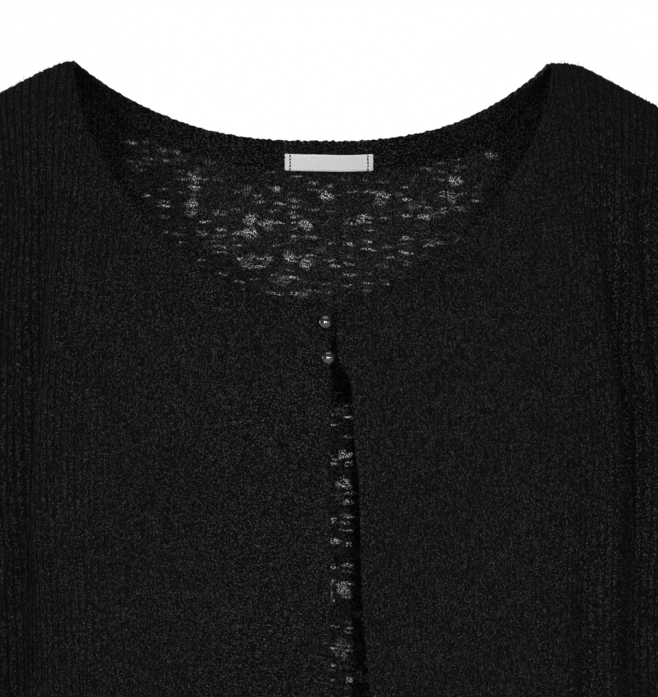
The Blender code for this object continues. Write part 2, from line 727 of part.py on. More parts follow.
def lining_strip(name, slot, rows, xs, drops, inset, thick, collection):
    """A strip that lies inside the back's facets, between rows of drops given for each x."""
    tops, seconds = rows
    first = np.stack([np.interp(xs, tops[:, 0], tops[:, axis]) for axis in range(3)], axis=-1)
    second = np.stack([np.interp(xs, tops[:, 0], seconds[:, axis]) for axis in range(3)], axis=-1)
    along = np.gradient(first, axis=0)
    inward = np.cross(along, second - first)
    inward /= np.linalg.norm(inward, axis=1, keepdims=True)
    inward *= -np.sign(inward[:, 1:2])
    sheets = []
    for depth in (inset, inset + thick):
        sheet = []
        for i, x in enumerate(xs):
            column = []
            for drop in drops:
                base = first[i] + (second[i] - first[i]) * drop[i] / NECK_ROW
                column.append((tuple(base + inward[i] * depth), drop[i]))
            sheet.append((x, column))
        sheets.append(sheet)
    points, faces = closed_wall(*sheets)
    make_object(name, points, faces, slot, collection)


def make_neck_band(rows, collection):
    """The turned band, of even width square to the neck's edge."""
    tops, seconds = rows
    low = tops[0, 0] + BAND_ENDS
    high = tops[-1, 0] - BAND_ENDS
    xs = np.concatenate([[low], tops[1:-1, 0][(tops[1:-1, 0] > low) & (tops[1:-1, 0] < high)], [high]])
    slope = np.minimum(np.abs(np.gradient(np.interp(xs, tops[:, 0], tops[:, 2]), xs)), STEEPEST_NECK)
    width = BAND_WIDTH * np.sqrt(1.0 + slope * slope)
    drops = [np.full(len(xs), BAND_INSET), width]
    lining_strip("neck_band", "knit", rows, xs, drops, SEAM, BAND_THICK, collection)


def make_label(rows, collection):
    xs = np.linspace(-LABEL_WIDTH / 2, LABEL_WIDTH / 2, LABEL_COLUMNS + 1)
    drops = [np.full(len(xs), LABEL_DROP), np.full(len(xs), LABEL_DROP + LABEL_HEIGHT)]
    inset = 2 * SEAM + BAND_THICK
    lining_strip("label", "label", rows, xs, drops, inset, LABEL_THICK, collection)


def edge_point(side, height, share=0.0):
    """Outer point of a front's smooth edge strip at a height, on the facet between two of its rows."""
    rows = np.array(column_rows(side, -1, np.array([share]))[0])
    shares = np.full(len(rows), share)
    points = cloth_offset(side, -1, shares, rows, np.full(len(rows), WALL + RIB_HEIGHT))[::-1]
    return np.array([np.interp(height, points[:, 2], points[:, axis]) for axis in range(3)])


def join_meshes(pieces, name, slot, collection):
    """One object from overlapping closed pieces, by Boolean union."""
    base = pieces[0]
    for other in pieces[1:]:
        union = base.modifiers.new("union", "BOOLEAN")
        union.operation = "UNION"
        union.object = other
    graph = bpy.context.evaluated_depsgraph_get()
    mesh = bpy.data.meshes.new_from_object(base.evaluated_get(graph))
    mesh.name = name
    mesh.transform(base.matrix_world)
    for piece in pieces:
        bpy.data.objects.remove(piece, do_unlink=True)
    mesh.materials.clear()
    mesh.materials.append(bpy.data.materials[slot])
    mesh.shade_smooth()
    mesh.set_sharp_from_angle(angle=SMOOTH_ANGLE)
    item = bpy.data.objects.new(name, mesh)
    collection.objects.link(item)


def make_button(which, x, height, collection):
    """A ball with a shank that ends on the right front's edge strip."""
    cloth_y = edge_point(-1, height, STRIP_SHARE)[1]
    centre_y = cloth_y - BUTTON_STANDOFF
    upright = (math.radians(90), 0.0, 0.0)
    bpy.ops.mesh.primitive_uv_sphere_add(
        segments=20, ring_count=12, radius=BUTTON_RADIUS, location=(x, centre_y, height), rotation=upright
    )
    ball = bpy.context.object
    length = cloth_y - SEAM - centre_y
    middle = (x, centre_y + length / 2, height)
    bpy.ops.mesh.primitive_cylinder_add(
        vertices=12, radius=SHANK_RADIUS, depth=length, location=middle, rotation=upright
    )
    shank = bpy.context.object
    join_meshes([ball, shank], "button_" + which, "button", collection)


def make_loop(which, x, height, collection):
    """A cord from the left front's edge round the button's shank and back."""
    cloth_y = edge_point(-1, height, STRIP_SHARE)[1] - SEAM - LOOP_WIRE
    edge = edge_point(1, height)
    foot_x = edge[0] + LOOP_FOOT
    foot_y = min(edge[1] - SEAM - LOOP_WIRE, cloth_y)
    foot_z = LOOP_RADIUS * LOOP_SPREAD
    route = [(foot_x, foot_y, height + foot_z)]
    for step in range(LOOP_TURNS + 1):
        angle = math.pi / 2 + math.pi * step / LOOP_TURNS
        route.append((x + LOOP_RADIUS * math.cos(angle), cloth_y, height + LOOP_RADIUS * math.sin(angle)))
    route.append((foot_x, foot_y, height - foot_z))
    curve = bpy.data.curves.new("loop_" + which, "CURVE")
    curve.dimensions = "3D"
    curve.bevel_depth = LOOP_WIRE
    curve.bevel_resolution = 1
    curve.use_fill_caps = True
    spline = curve.splines.new("POLY")
    spline.points.add(len(route) - 1)
    for point, place in zip(spline.points, route):
        point.co = (*place, 1.0)
    curve.materials.append(bpy.data.materials["loop"])
    item = bpy.data.objects.new("loop_" + which, curve)
    collection.objects.link(item)


def build():
    clear_scene()
    collection = bpy.data.collections.new("cardigan")
    bpy.context.scene.collection.children.link(collection)
    for slot in COLOURS:
        make_material(slot)
    make_front(-1, "front_right", collection)
    make_front(1, "front_left", collection)
    back_sheets = whole_back()
    make_back(back_sheets, collection)
    make_sleeve(-1, "sleeve_right", collection)
    make_sleeve(1, "sleeve_left", collection)
    rows = neck_rows(back_sheets[1])
    make_neck_band(rows, collection)
    make_label(rows, collection)
    for which, x, height in BUTTONS:
        make_button(which, x, height, collection)
        make_loop(which, x, height, collection)


build()
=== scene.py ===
"""Looks for the black rib-knit cardigan: fine rib shells on the frame's cloth, trim, light and camera.

Everything is in metres in the frame's own axes: the wearer faces -Y, +Z is up, and the origin lies on the
shoulder line between the neck points. side is -1 for the wearer's right, at -X, and +1 for the left. facing
is -1 on the fronts and +1 on the back. A place on the body's cloth is a share of its width, from the middle
(0) to the side seam (1), and the length of cloth down from the shoulder line.
"""

import json
import math

import bmesh
import bpy
import numpy as np
from mathutils import Matrix, Vector

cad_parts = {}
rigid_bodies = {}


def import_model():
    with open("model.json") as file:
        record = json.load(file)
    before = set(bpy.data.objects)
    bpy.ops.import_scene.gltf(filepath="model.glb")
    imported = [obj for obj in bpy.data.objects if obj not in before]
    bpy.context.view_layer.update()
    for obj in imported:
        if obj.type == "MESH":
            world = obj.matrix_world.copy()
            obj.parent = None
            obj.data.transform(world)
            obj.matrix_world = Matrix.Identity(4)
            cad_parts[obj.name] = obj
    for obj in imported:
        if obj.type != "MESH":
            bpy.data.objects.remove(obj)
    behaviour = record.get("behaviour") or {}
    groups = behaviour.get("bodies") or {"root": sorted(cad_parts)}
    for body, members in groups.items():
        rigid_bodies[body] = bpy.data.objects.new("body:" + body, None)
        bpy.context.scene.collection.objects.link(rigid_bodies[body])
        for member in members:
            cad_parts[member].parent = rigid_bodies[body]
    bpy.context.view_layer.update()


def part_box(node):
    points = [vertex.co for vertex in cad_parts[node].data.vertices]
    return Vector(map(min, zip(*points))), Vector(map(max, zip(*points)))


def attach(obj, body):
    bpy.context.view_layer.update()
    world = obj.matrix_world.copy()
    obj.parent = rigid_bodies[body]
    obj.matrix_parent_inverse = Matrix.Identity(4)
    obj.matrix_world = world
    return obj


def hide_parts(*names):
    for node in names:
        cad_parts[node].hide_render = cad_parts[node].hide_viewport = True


# The photograph's view
IMAGE_WIDTH = 658
FOCAL_PIXELS = 4630.0
SENSOR_WIDTH_MM = 36.0
CAMERA_DISTANCE = 2.6
CAMERA_HEIGHT = -0.1609

# Cloth
WALL = 0.0013  # cloth at a groove between two ribs
RIB_HEIGHT = 0.0007  # how far a rib's crest stands over its grooves
RIB_PITCH = 0.0041
PIECE_GAP = 0.00005  # between two pieces that are sewn together
STITCH_COURSE = 0.00115  # height of one course of stitches

# One rib from groove to groove: share of the pitch across, and share of the rib's height. The fine one spans
# two wales
RIB_PROFILE = [
    (0.0, 0.0), (0.09, 0.55), (0.24, 1.0), (0.41, 0.86), (0.5, 0.7), (0.59, 0.86), (0.76, 1.0), (0.91, 0.55)
]
COARSE_RIB_PROFILE = [(0.0, 0.0), (0.14, 0.72), (0.36, 1.0), (0.64, 1.0), (0.86, 0.72)]
INNER_RIB_PROFILE = [(0.0, 0.0), (0.5, 1.0)]
INNER_RIB_HEIGHT = 0.00025  # relief of the cloth's inside

# Body, worn: half width and the depths in front of and behind the middle plane, at each height
BODY_SECTIONS = [
    # height, half_width, front_depth, back_depth
    (-0.58, 0.214, 0.108, 0.099),
    (-0.43, 0.205, 0.102, 0.089),
    (-0.32, 0.203, 0.106, 0.09),
    (-0.215, 0.205, 0.111, 0.095),
    (-0.14, 0.203, 0.104, 0.092),
    (-0.06, 0.204, 0.084, 0.084),
    (0.02, 0.204, 0.07, 0.074),
]
SECTION_POWER = 2.3  # 2 is an ellipse, more is squarer
HEM_HEIGHT = -0.58

# Shoulders and neck
SHOULDER_ROUND = 0.07  # drop in which the cloth turns from the shoulder seam to upright
SHOULDER_SLOPE = 0.52
SHOULDER_FLAT_HALF = 0.143  # half width of the near level part, between the two slopes
SHOULDER_MIDDLE = -0.0053  # and where its middle is
SHOULDER_LEVEL = -0.0013  # height of the cloth's inside there
SHOULDER_TILT = 0.006  # the wearer's left shoulder is lower by this slope
SHOULDER_BEND = 0.006  # length over which the level part turns into the slope
NECK_SHIFT = -0.009  # the neck sits a little towards the wearer's right
NECK_HALF_WIDTH = 0.1335
FRONT_NECK_DROP = 0.1377
BACK_NECK_DROP = 0.0404
FRONT_NECK_POWERS = (1.8, 1.6)
BACK_NECK_POWERS = (2.42, 1.0)
BACK_NECK_FULLER = 0.45  # more in the first power on the wearer's left, where the curve is fuller
BACK_NECK_SHIFT = -0.0015  # the back's neck sits this much further towards the wearer's right
LEFT_FRONT_RAISED = 0.004  # the wearer's left front stands this much higher at the buttons
LEFT_FRONT_RAISED_WIDTH = 0.05

# Armholes
ARMHOLE_TIP_X = 0.19
ARMHOLE_TIP_HEIGHT = -0.024
ARMHOLE_INNER_X = 0.178
ARMHOLE_INNER_HEIGHT = -0.1
UNDERARM_HEIGHT = -0.215

# Opening: distance of the wearer's left front's edge from the middle, at each height
OPENING = [
    # height, distance
    (-0.58, 0.034),
    (-0.348, 0.022),
    (-0.296, 0.0177),
    (-0.2315, 0.0156),
    (-0.205, 0.0129),
    (-0.183, 0.0118),
    (-0.175, 0.0097),
    (-0.17, 0.0064),
    (-0.162, 0.0043),
    (-0.151, 0.0043),
    (0.0, 0.0043),
]
RIGHT_EDGE = 0.001  # the wearer's right front ends here, past the middle
EDGE_STRIP = 0.006  # turned edge of a front, smooth and as thick as a crest

# Upright folds: where on the cloth, as a share of its width, their half width, and how far they stand out
# (+) or sink in (-) at the underarm and at the hem
FRONT_FOLDS = [
    # side, place, half_width, at_underarm, at_hem
    (-1, 0.7, 0.085, -0.0045, -0.01),
    (-1, 0.55, 0.075, 0.001, 0.006),
    (-1, 0.86, 0.08, 0.005, 0.009),
    (-1, 0.28, 0.09, 0.0, -0.005),
    (1, 0.66, 0.08, -0.006, -0.011),
    (1, 0.52, 0.07, 0.0, -0.006),
    (1, 0.59, 0.05, 0.001, 0.004),
    (1, 0.82, 0.085, 0.006, 0.008),
    (1, 0.25, 0.085, 0.0, 0.005),
]
BACK_FOLDS = [
    # side, place, half_width, at_underarm, at_hem
    (-1, 0.68, 0.085, -0.005, -0.011),
    (-1, 0.84, 0.08, 0.005, 0.0085),
    (-1, 0.4, 0.09, 0.001, 0.007),
    (-1, 0.16, 0.08, 0.0, -0.006),
    (1, 0.72, 0.08, -0.0045, -0.009),
    (1, 0.56, 0.075, 0.001, 0.007),
    (1, 0.87, 0.075, 0.0045, 0.008),
    (1, 0.3, 0.085, 0.0, -0.0065),
]
FOLDS = {-1: FRONT_FOLDS, 1: BACK_FOLDS}
FOLDS_START = -0.06

# Sleeve rings, from the armhole to the cuff: the outer and the inner point of each, seen from the front,
# with its half depth, its middle's place from front to back, and how much of the armhole's shape it keeps
SLEEVE_RINGS = [
    # outer_x, outer_z, inner_x, inner_z, half_depth, middle_y, armhole_share
    (0.19, -0.024, 0.2055, -0.215, 0.05, 0.0, 1.0),
    (0.225, -0.044, 0.212, -0.219, 0.055, 0.0, 0.55),
    (0.259, -0.085, 0.217, -0.23, 0.056, -0.001, 0.22),
    (0.286, -0.145, 0.223, -0.248, 0.054, -0.003, 0.06),
    (0.306, -0.22, 0.231, -0.276, 0.051, -0.005, 0.0),
    (0.328, -0.36, 0.248, -0.375, 0.047, -0.01, 0.0),
    (0.345, -0.47, 0.269, -0.476, 0.043, -0.018, 0.0),
    (0.356, -0.58, 0.286, -0.576, 0.039, -0.028, 0.0),
]
SLEEVE_RIBS = 80
SLEEVE_CREASES = [
    # angle_deg round the sleeve from its outer line by the front, half_width_deg, depth at each ring
    (150.0, 28.0, (0.0, 0.002, 0.004, 0.005, 0.003, 0.001, 0.0, 0.0)),
    (215.0, 30.0, (0.0, 0.002, 0.005, 0.004, 0.002, 0.0, 0.001, 0.0)),
    (75.0, 26.0, (0.0, 0.001, 0.002, 0.0, 0.002, 0.005, 0.002, 0.0)),
    (300.0, 28.0, (0.0, 0.001, 0.001, 0.002, 0.003, 0.004, 0.001, 0.0)),
]

# Neck band and label, inside the back
NECK_BAND_THICK = 0.0014
BAND_ENDS = 0.0015  # and stops this far from the shoulder seams
LABEL_WIDTH = 0.051
LABEL_HEIGHT = 0.01
LABEL_THICK = 0.0004
LABEL_DROP = 0.007  # from the neck's edge to the label's top

# Buttons and loops
BUTTON_RADIUS = 0.004
BUTTONS = [
    # name, x, height
    ("upper", -0.0019, -0.1469),
    ("lower", -0.0004, -0.166),
]
SHANK_RADIUS = 0.0009
LOOP_WIRE = 0.0006  # radius of the loop's cord
LOOP_RADIUS = 0.0019  # of the cord's middle line round the shank
LOOP_SPREAD = 1.1  # the loop's feet stand this much wider apart
LOOP_TURNS = 8

# Rows down a panel: above the level of the armhole's innermost point, and below it
FRONT_ROWS = (34, 88)
BACK_ROWS = (26, 72)
SLEEVE_ROWS = 104
MIDDLE_SPLIT = 0.18  # share of the middle column that belongs to the upper rows
EDGE_IN = 0.3 * WALL  # how far an edge's outer and inner points come in towards the wall's middle
CORNER_ROUND = 1.4  # times that at the front's upper corner
EDGE_STRIP_PROFILE = [(0.45, 0.9), (0.9, 1.0)]  # share of that strip, rise
EDGE_ROUND = 0.0006  # length of cloth in which an edge turns over

# Creases in the body's cloth, besides its upright folds: straight troughs (-) or ridges (+) that fade across
# and towards both ends. across is from the middle, + towards the wearer's left, down from the shoulder line
FRONT_CREASES = [
    # from_across, from_down, to_across, to_down, half_width, depth
    (-0.014, 0.203, -0.075, 0.176, 0.012, -0.0009),
    (-0.012, 0.226, -0.085, 0.262, 0.014, -0.001),
    (-0.01, 0.238, -0.04, 0.33, 0.013, 0.0009),
    (0.012, 0.206, 0.07, 0.182, 0.012, -0.0008),
    (0.012, 0.222, 0.09, 0.255, 0.015, -0.001),
    (0.014, 0.24, 0.05, 0.325, 0.012, 0.0008),
    (-0.25, 0.235, -0.165, 0.33, 0.017, -0.0022),
    (-0.262, 0.262, -0.19, 0.4, 0.016, 0.0018),
    (0.25, 0.235, 0.17, 0.345, 0.018, -0.0024),
    (0.262, 0.268, 0.2, 0.42, 0.015, 0.0018),
    (0.022, 0.403, 0.046, 0.4, 0.006, -0.0014),
    (-0.21, 0.47, -0.12, 0.5, 0.02, -0.0016),
    (0.205, 0.5, 0.13, 0.53, 0.018, -0.0015),
    (-0.09, 0.54, -0.03, 0.56, 0.016, 0.001),
    (-0.166, 0.085, -0.181, 0.345, 0.0125, -0.0074),
    (-0.184, 0.27, -0.197, 0.6, 0.012, -0.0076),
    (-0.153, 0.12, -0.163, 0.36, 0.011, 0.0022),
    (-0.188, 0.12, -0.2, 0.28, 0.008, 0.002),
    (-0.172, 0.38, -0.178, 0.6, 0.011, 0.0024),
    (0.16, 0.08, 0.182, 0.34, 0.013, -0.0096),
    (0.184, 0.07, 0.197, 0.26, 0.008, -0.0056),
    (0.143, 0.11, 0.16, 0.33, 0.011, 0.0022),
    (0.136, 0.27, 0.144, 0.62, 0.012, -0.0086),
    (0.18, 0.33, 0.192, 0.61, 0.011, -0.0078),
    (0.158, 0.34, 0.165, 0.62, 0.012, 0.003),
    (0.118, 0.3, 0.121, 0.58, 0.011, 0.0016),
]
BACK_CREASES = [
    # from_across, from_down, to_across, to_down, half_width, depth
    (-0.245, 0.24, -0.15, 0.33, 0.018, -0.0024),
    (0.25, 0.245, 0.16, 0.35, 0.017, -0.0022),
    (-0.06, 0.33, 0.05, 0.345, 0.018, -0.0014),
    (0.08, 0.4, -0.02, 0.425, 0.02, -0.0012),
    (-0.2, 0.45, -0.09, 0.475, 0.019, -0.0018),
    (0.215, 0.47, 0.11, 0.5, 0.018, -0.0016),
    (-0.04, 0.16, -0.12, 0.23, 0.022, 0.001),
    (0.05, 0.17, 0.125, 0.235, 0.02, 0.001),
]
SLEEVE_RELIEF = [
    # from_around, from_along, to_around, to_along, half_width, depth
    (0.03, 0.06, 0.11, 0.12, 0.011, -0.0016),
    (0.11, 0.045, 0.17, 0.095, 0.01, -0.0018),
    (0.23, 0.05, 0.18, 0.105, 0.011, -0.0018),
    (0.31, 0.07, 0.25, 0.14, 0.012, -0.0015),
    (0.06, 0.23, 0.15, 0.215, 0.012, -0.002),
    (0.09, 0.262, 0.19, 0.255, 0.011, 0.0014),
    (0.12, 0.3, 0.22, 0.285, 0.012, -0.002),
    (0.24, 0.245, 0.31, 0.275, 0.011, -0.0014),
    (0.02, 0.39, 0.09, 0.42, 0.012, -0.0012),
    (0.15, 0.43, 0.24, 0.415, 0.012, -0.0013),
    (0.06, 0.49, 0.14, 0.505, 0.011, 0.001),
]
CREASES = {-1: FRONT_CREASES, 1: BACK_CREASES}
CREASE_FADE = 0.15  # past each end, as a share of a crease's length
RIPPLE_DEPTH = 0.00035  # of the slight unevenness all over
RIPPLES = [
    # radians for each metre across and down, turn, size
    (131.0, 37.0, 0.0, 1.0),
    (83.0, -61.0, 1.7, 1.0),
    (211.0, 23.0, 0.6, 0.5),
]
RIPPLES_TOP = 2.5  # all of them together
SLUB_DEPTH = 0.0002  # of the yarn's thick places
EDGE_FRAY = 0.00032  # of the neck's uneven edge
FRAY_WAVES = [(1810.0, 0.0, 0.0, 1.0), (1130.0, 0.0, 1.3, 1.0), (640.0, 0.0, 4.1, 1.0)]
FRAY_TOP = 1.8

# Trim in detail
NECK_BAND_PROFILE = [
    # down_from_the_edge, into_the_garment
    (0.0002, 0.0001),
    (-0.0004, 0.0005),
    (0.0, 0.0011),
    (0.0012, 0.0015),
    (0.005, 0.0014),
    (0.01, 0.0014),
    (0.0136, 0.0012),
    (0.0146, 0.0015),
    (0.0152, 0.001),
    (0.015, 0.0002),
    (0.0076, 0.0001),
]
BAND_STEEPEST = 0.8  # slope of the neck's edge above which the band grows no wider
BAND_COLUMNS = 260  # on each side of the middle
BAND_STITCH_DROP = 0.0136  # from the neck's edge to the stitches along the band
BAND_STITCHES = (0.0012, 0.0030, 0.0024, 0.0016)  # start and end clear of the band's, step and length
LABEL_TILT = 0.012  # the label's left end, for the wearer, hangs lower
LABEL_SECTION = [
    # share_of_the_height, depth as a share of the label's thickness
    (0.0, 0.0),
    (0.0, 1.0),
    (0.1, 1.2),
    (0.5, 1.1),
    (0.9, 1.2),
    (1.0, 1.0),
    (1.0, 0.0),
    (0.5, 0.0),
]
LABEL_STITCHES = 5  # at each end
LABEL_STITCH_INSET = 0.003  # from the label's end to its stitches
LABEL_STITCH_RADIUS = 0.00046
LABEL_STITCH_SLANT = 0.00012  # and each leans its own way
STITCH_RADIUS = 0.00018
STITCH_SIDES = 8
STITCH_RINGS = [(0.12, 0.75), (0.5, 1.0), (0.88, 0.75)]  # share of the length, share of the radius
STITCH_STEP = 0.0042
STITCH_LENGTH = 0.0028
STITCH_RISE = WALL + RIB_HEIGHT * 0.9  # over the cloth's inner surface
HEM_DEPTH = 0.018  # from the hem to its stitches
HEM_CLEAR = (0.008, 0.004)  # from the middle and from the side seam to the stitches
CUFF_ROW = -5  # row of the sleeve on which the cuff's stitches lie
CUFF_STITCH_SCALE = 1.5
BALL_FACES = (48, 32)
SHANK_SIDES = 20
CORD_SIDES = 14
CORD_STEPS = 72
CORD_TWIST = 620.0  # radians for each metre
CORD_RIDGE = 0.16  # how far the two strands stand out, as a share of the radius

# Loose fibres
FUZZ_SEED = 11
FUZZ_COUNT = 13000
FUZZ_LENGTHS = (0.0012, 0.0034)
FUZZ_RADIUS = 0.0001
FUZZ_SINK = 0.0001  # its start lies this deep in the cloth
FUZZ_RISE = (0.15, 0.60)  # of the middle, as a share of the length
FUZZ_END_RISE = (0.2, 1.2)  # of the end, as a share of that
FUZZ_MIDDLE = 0.45  # place of the middle, as a share of the length
FUZZ_EDGE_HEIGHT = -0.062  # above this the fibres stand closer
FUZZ_EDGE_SHARE = 7.0  # this many times

# The knit's colour, with sizes of its pattern in rib pitches, across and down
YARN_DRIFT = 0.16
SPECKLE_CELL = (0.095, 0.105)
SPECKLE_POWER = 9.0  # more makes fewer light specks
LOOP_LIGHT = 0.02
KNIT_SPECULAR = 0.1
SHADE_PATCHES = [(3.0, 0.7, 5.7, 0.10), (14.0, 9.0, 11.9, 0.08)]  # wide, high, offset, change of lightness
# painted shade in the grooves between ribs: where it starts and is full, from the middle, and how dark it is
# at each
GROOVE_REACH = (22.0, 44.0)  # from the middle
GROOVE_PAINTED_SHADE = (0.06, 0.7)

# Thin spots of the back, through which light comes, in the same sizes
SPOT_ROW = 0.0051  # metres from one row of spots to the next
SPOT_SWAY_CELL = (2.1, 1.3)
SPOT_SWAY = (2.2, 0.88)
SPOT_KINDS = [
    # cell, offset, chance
    ((2.7, 0.58), 21.3, (0.34, 1.0)),
    ((2.7, 2.3), 27.7, (0.52, 0.98)),
]
SPOT_BODY = (0.16, 0.58)  # share of its cell at which a spot starts to end, and ends
HOLE_CELL = (0.19, 0.21)
HOLE_SIZES = (0.232, 0.58)
HOLE_OPEN = 0.91
HOLE_LEAST = 0.1
THIN_LEAST = 0.14  # of the whole back, away from its edges
DOUBLE_HEIGHT = -0.057  # the double cloth by the neck reaches down to here in the middle
DOUBLE_CURVE = 1.6  # and rises towards the sides with this times the square of the way across
DOUBLE_FADE = 0.004
THIN_MIDDLE = (-0.0095, -0.03)  # of the round thin area inside the neck: x, z
THIN_RADII = (0.114, 0.107)
THIN_ROUND_END = (0.84, 1.04)
THIN_LOWER_START = (0.184, 0.204)
THIN_STRIP = (0.0115, 0.015)  # x past which the lower cloth is hardly thin
THIN_STRIP_LEFT = 0.25

# Colours, linear
KNIT_DARK = (0.0003, 0.0002, 0.0003)
KNIT_LIGHT = (0.085, 0.0722, 0.0781)
INSIDE_PAINTED_LIGHT = 1.75  # painted light: the back's and the neck band's knit is coloured this many times lighter, standing in for light inside the garment
LABEL_WHITE = (0.95, 0.95, 0.95)
LABEL_SHADE = (0.88, 0.88, 0.89)
LABEL_THREADS = 34.0
THREAD_GREY = (0.002, 0.002, 0.002)
FIBRE_GREY = (0.016, 0.014, 0.015)
BLACK_THREAD = (0.0016, 0.0015, 0.0016)
GLOSS_BLACK = (0.003, 0.0028, 0.0034)

# Studio
BACKGROUND = 1.0
SURROUND = 0.13
SOFTBOXES = [
    # name, place, wide, high, power
    ("near_softbox", (0.07, -2.55, -0.06), 0.12, 0.12, 3.6),
    ("near_left_softbox", (-0.75, -2.40, 0.22), 0.16, 0.16, 21.0),
    ("near_right_softbox", (0.60, -2.45, 0.16), 0.16, 0.16, 9.0),
    ("front_softbox", (-0.30, -2.75, 0.40), 2.30, 1.50, 8.5),
    ("right_softbox", (1.22, -1.55, -0.08), 0.40, 0.46, 4.0),
    ("left_softbox", (-1.60, 0.12, -0.10), 0.24, 0.62, 4.0),
    ("top_softbox", (0.00, -0.30, 1.60), 1.60, 1.20, 6.5),
    ("rear_softbox", (-1.30, 2.10, 0.05), 0.80, 0.80, 24.0),
]
LIGHT_TARGET = (0.0, -0.05, -0.18)
MIDDLE_LAMP = (0.07, -2.55, -0.12)  # a soft round beam on the buttons and the gap below them
MIDDLE_TARGET = (0.005, -0.10, -0.26)
MIDDLE_POWER = 38.0
MIDDLE_ANGLE = 12.0  # degrees, of the whole beam
MIDDLE_RADIUS = 0.05
FLOOR_HEIGHT = -0.7
FLOOR_RADIUS = 4.0
FLOOR_SIDES = 96
FLOOR_COLOUR = (0.8, 0.8, 0.8, 1.0)

# How finely forms are worked out before the points are read from them
GRID_HEIGHTS = np.linspace(HEM_HEIGHT - 0.02, 0.06, 140)
GRID_SHARES = np.linspace(0.0, 1.0, 301)
HALVINGS = 34
PASSES = 4  # for the height and width of a place to settle together
LONGEST_NECK = 0.3  # length of cloth within which the neck's edge is sought
SHORTEST_NECK = 0.0008  # and the least that counts as more than nothing
QUARTER_TURN = SHOULDER_ROUND * math.pi / 2
NORMAL_STEPS = (0.004, 0.001)  # across, as a share, and down
ARMHOLE_STEPS = 24
MIDDLE_MERGE = 0.0001


def ease(value):
    """0 below 0, 1 above 1, and a smooth step between."""
    value = np.clip(value, 0.0, 1.0)
    return value * value * (3.0 - 2.0 * value)


def bump(distance, half_width):
    """1 at the middle of a fold, falling smoothly to 0 at its half width."""
    return ease(1.0 - np.abs(distance) / half_width)


def smooth_between(places, values, targets):
    """values given at rising places, read at the targets along a smooth curve through them."""
    slopes = np.gradient(values, places, axis=0)
    i = np.clip(np.searchsorted(places, targets) - 1, 0, len(places) - 2)
    wide = (..., *[None] * (values.ndim - 1))
    step = (places[i + 1] - places[i])[wide]
    t = (targets - places[i])[wide] / step
    start = (2 * t**3 - 3 * t**2 + 1) * values[i] + (t**3 - 2 * t**2 + t) * step * slopes[i]
    end = (3 * t**2 - 2 * t**3) * values[i + 1] + (t**3 - t**2) * step * slopes[i + 1]
    return start + end


def by_height(table, height, column):
    """One column of a table of rising heights."""
    rows = np.array(table)
    return smooth_between(rows[:, 0], rows[:, column], np.clip(height, rows[0, 0], rows[-1, 0]))


def travelled(points):
    """Length along a line of points up to each of them, or the mean of several lines side by side."""
    steps = np.linalg.norm(np.diff(points, axis=0), axis=-1)
    return np.concatenate([[0.0], np.cumsum(steps if steps.ndim == 1 else steps.mean(axis=1))])


def section_grid(facing):
    """Quarter sections at the grid's heights: x, y and outward direction at its shares, and their lengths."""
    angle = np.linspace(0.0, math.pi / 2, len(GRID_SHARES))
    sheets = []
    lengths = []
    for height in GRID_HEIGHTS:
        half_width = by_height(BODY_SECTIONS, height, 1)
        depth = by_height(BODY_SECTIONS, height, 2 if facing < 0 else 3)
        curve_x = half_width * np.sin(angle) ** (2 / SECTION_POWER)
        curve_y = depth * np.maximum(np.cos(angle), 0.0) ** (2 / SECTION_POWER)
        length = np.concatenate([[0.0], np.cumsum(np.hypot(np.diff(curve_x), np.diff(curve_y)))])
        x, y = (np.interp(GRID_SHARES * length[-1], length, curve) for curve in (curve_x, curve_y))
        out_x = (x / half_width) ** (SECTION_POWER - 1) / half_width
        out_y = (y / depth) ** (SECTION_POWER - 1) / depth
        size = np.hypot(out_x, out_y)
        sheets.append(np.stack([x, y, out_x / size, out_y / size], axis=-1))
        lengths.append(length[-1])
    return np.array(sheets), np.array(lengths)


SECTIONS = {facing: section_grid(facing) for facing in (-1, 1)}


def section_place(facing, share, height):
    """x, y and outward direction on the section at a height, read between the grid's points."""
    sheets = SECTIONS[facing][0]
    row = np.interp(height, GRID_HEIGHTS, np.arange(len(GRID_HEIGHTS)))
    column = np.clip(share, 0.0, 1.0) * (len(GRID_SHARES) - 1)
    i = np.clip(row.astype(int), 0, len(GRID_HEIGHTS) - 2)
    j = np.clip(column.astype(int), 0, len(GRID_SHARES) - 2)
    s = (row - i)[..., None]
    t = (column - j)[..., None]
    upper = sheets[i, j] * (1 - t) + sheets[i, j + 1] * t
    lower = sheets[i + 1, j] * (1 - t) + sheets[i + 1, j + 1] * t
    return upper * (1 - s) + lower * s


def shoulder_level(x):
    return SHOULDER_LEVEL - SHOULDER_TILT * (x - SHOULDER_MIDDLE)


def ridge_height(x):
    """Height of the shoulder line at x: nearly level at the neck, then sloping."""
    past = np.abs(x - SHOULDER_MIDDLE) - SHOULDER_FLAT_HALF
    return shoulder_level(x) - SHOULDER_SLOPE * 0.5 * (past + np.sqrt(past * past + SHOULDER_BEND**2))


def armhole_fan(x, height):
    """How far the cloth near the armhole spreads outwards above the armhole's innermost point."""
    across = ease((np.abs(x) - NECK_HALF_WIDTH) / (ARMHOLE_INNER_X - NECK_HALF_WIDTH))
    upward = (height - ARMHOLE_INNER_HEIGHT) / (ARMHOLE_TIP_HEIGHT - ARMHOLE_INNER_HEIGHT)
    return (ARMHOLE_TIP_X - ARMHOLE_INNER_X) * across * np.clip(upward, 0.0, 1.2) ** 1.5


def fold_depth(side, facing, share, height):
    """How far the upright folds move the cloth out (+) or in (-)."""
    total = np.zeros_like(share)
    growth = ease((FOLDS_START - height) / (FOLDS_START - UNDERARM_HEIGHT))
    lower = ease((UNDERARM_HEIGHT - height) / (UNDERARM_HEIGHT - HEM_HEIGHT))
    for fold_side, place, half_width, at_underarm, at_hem in FOLDS[facing]:
        if fold_side == side:
            depth = growth * (at_underarm + (at_hem - at_underarm) * lower)
            total = total + depth * bump(share - place, half_width)
    return total


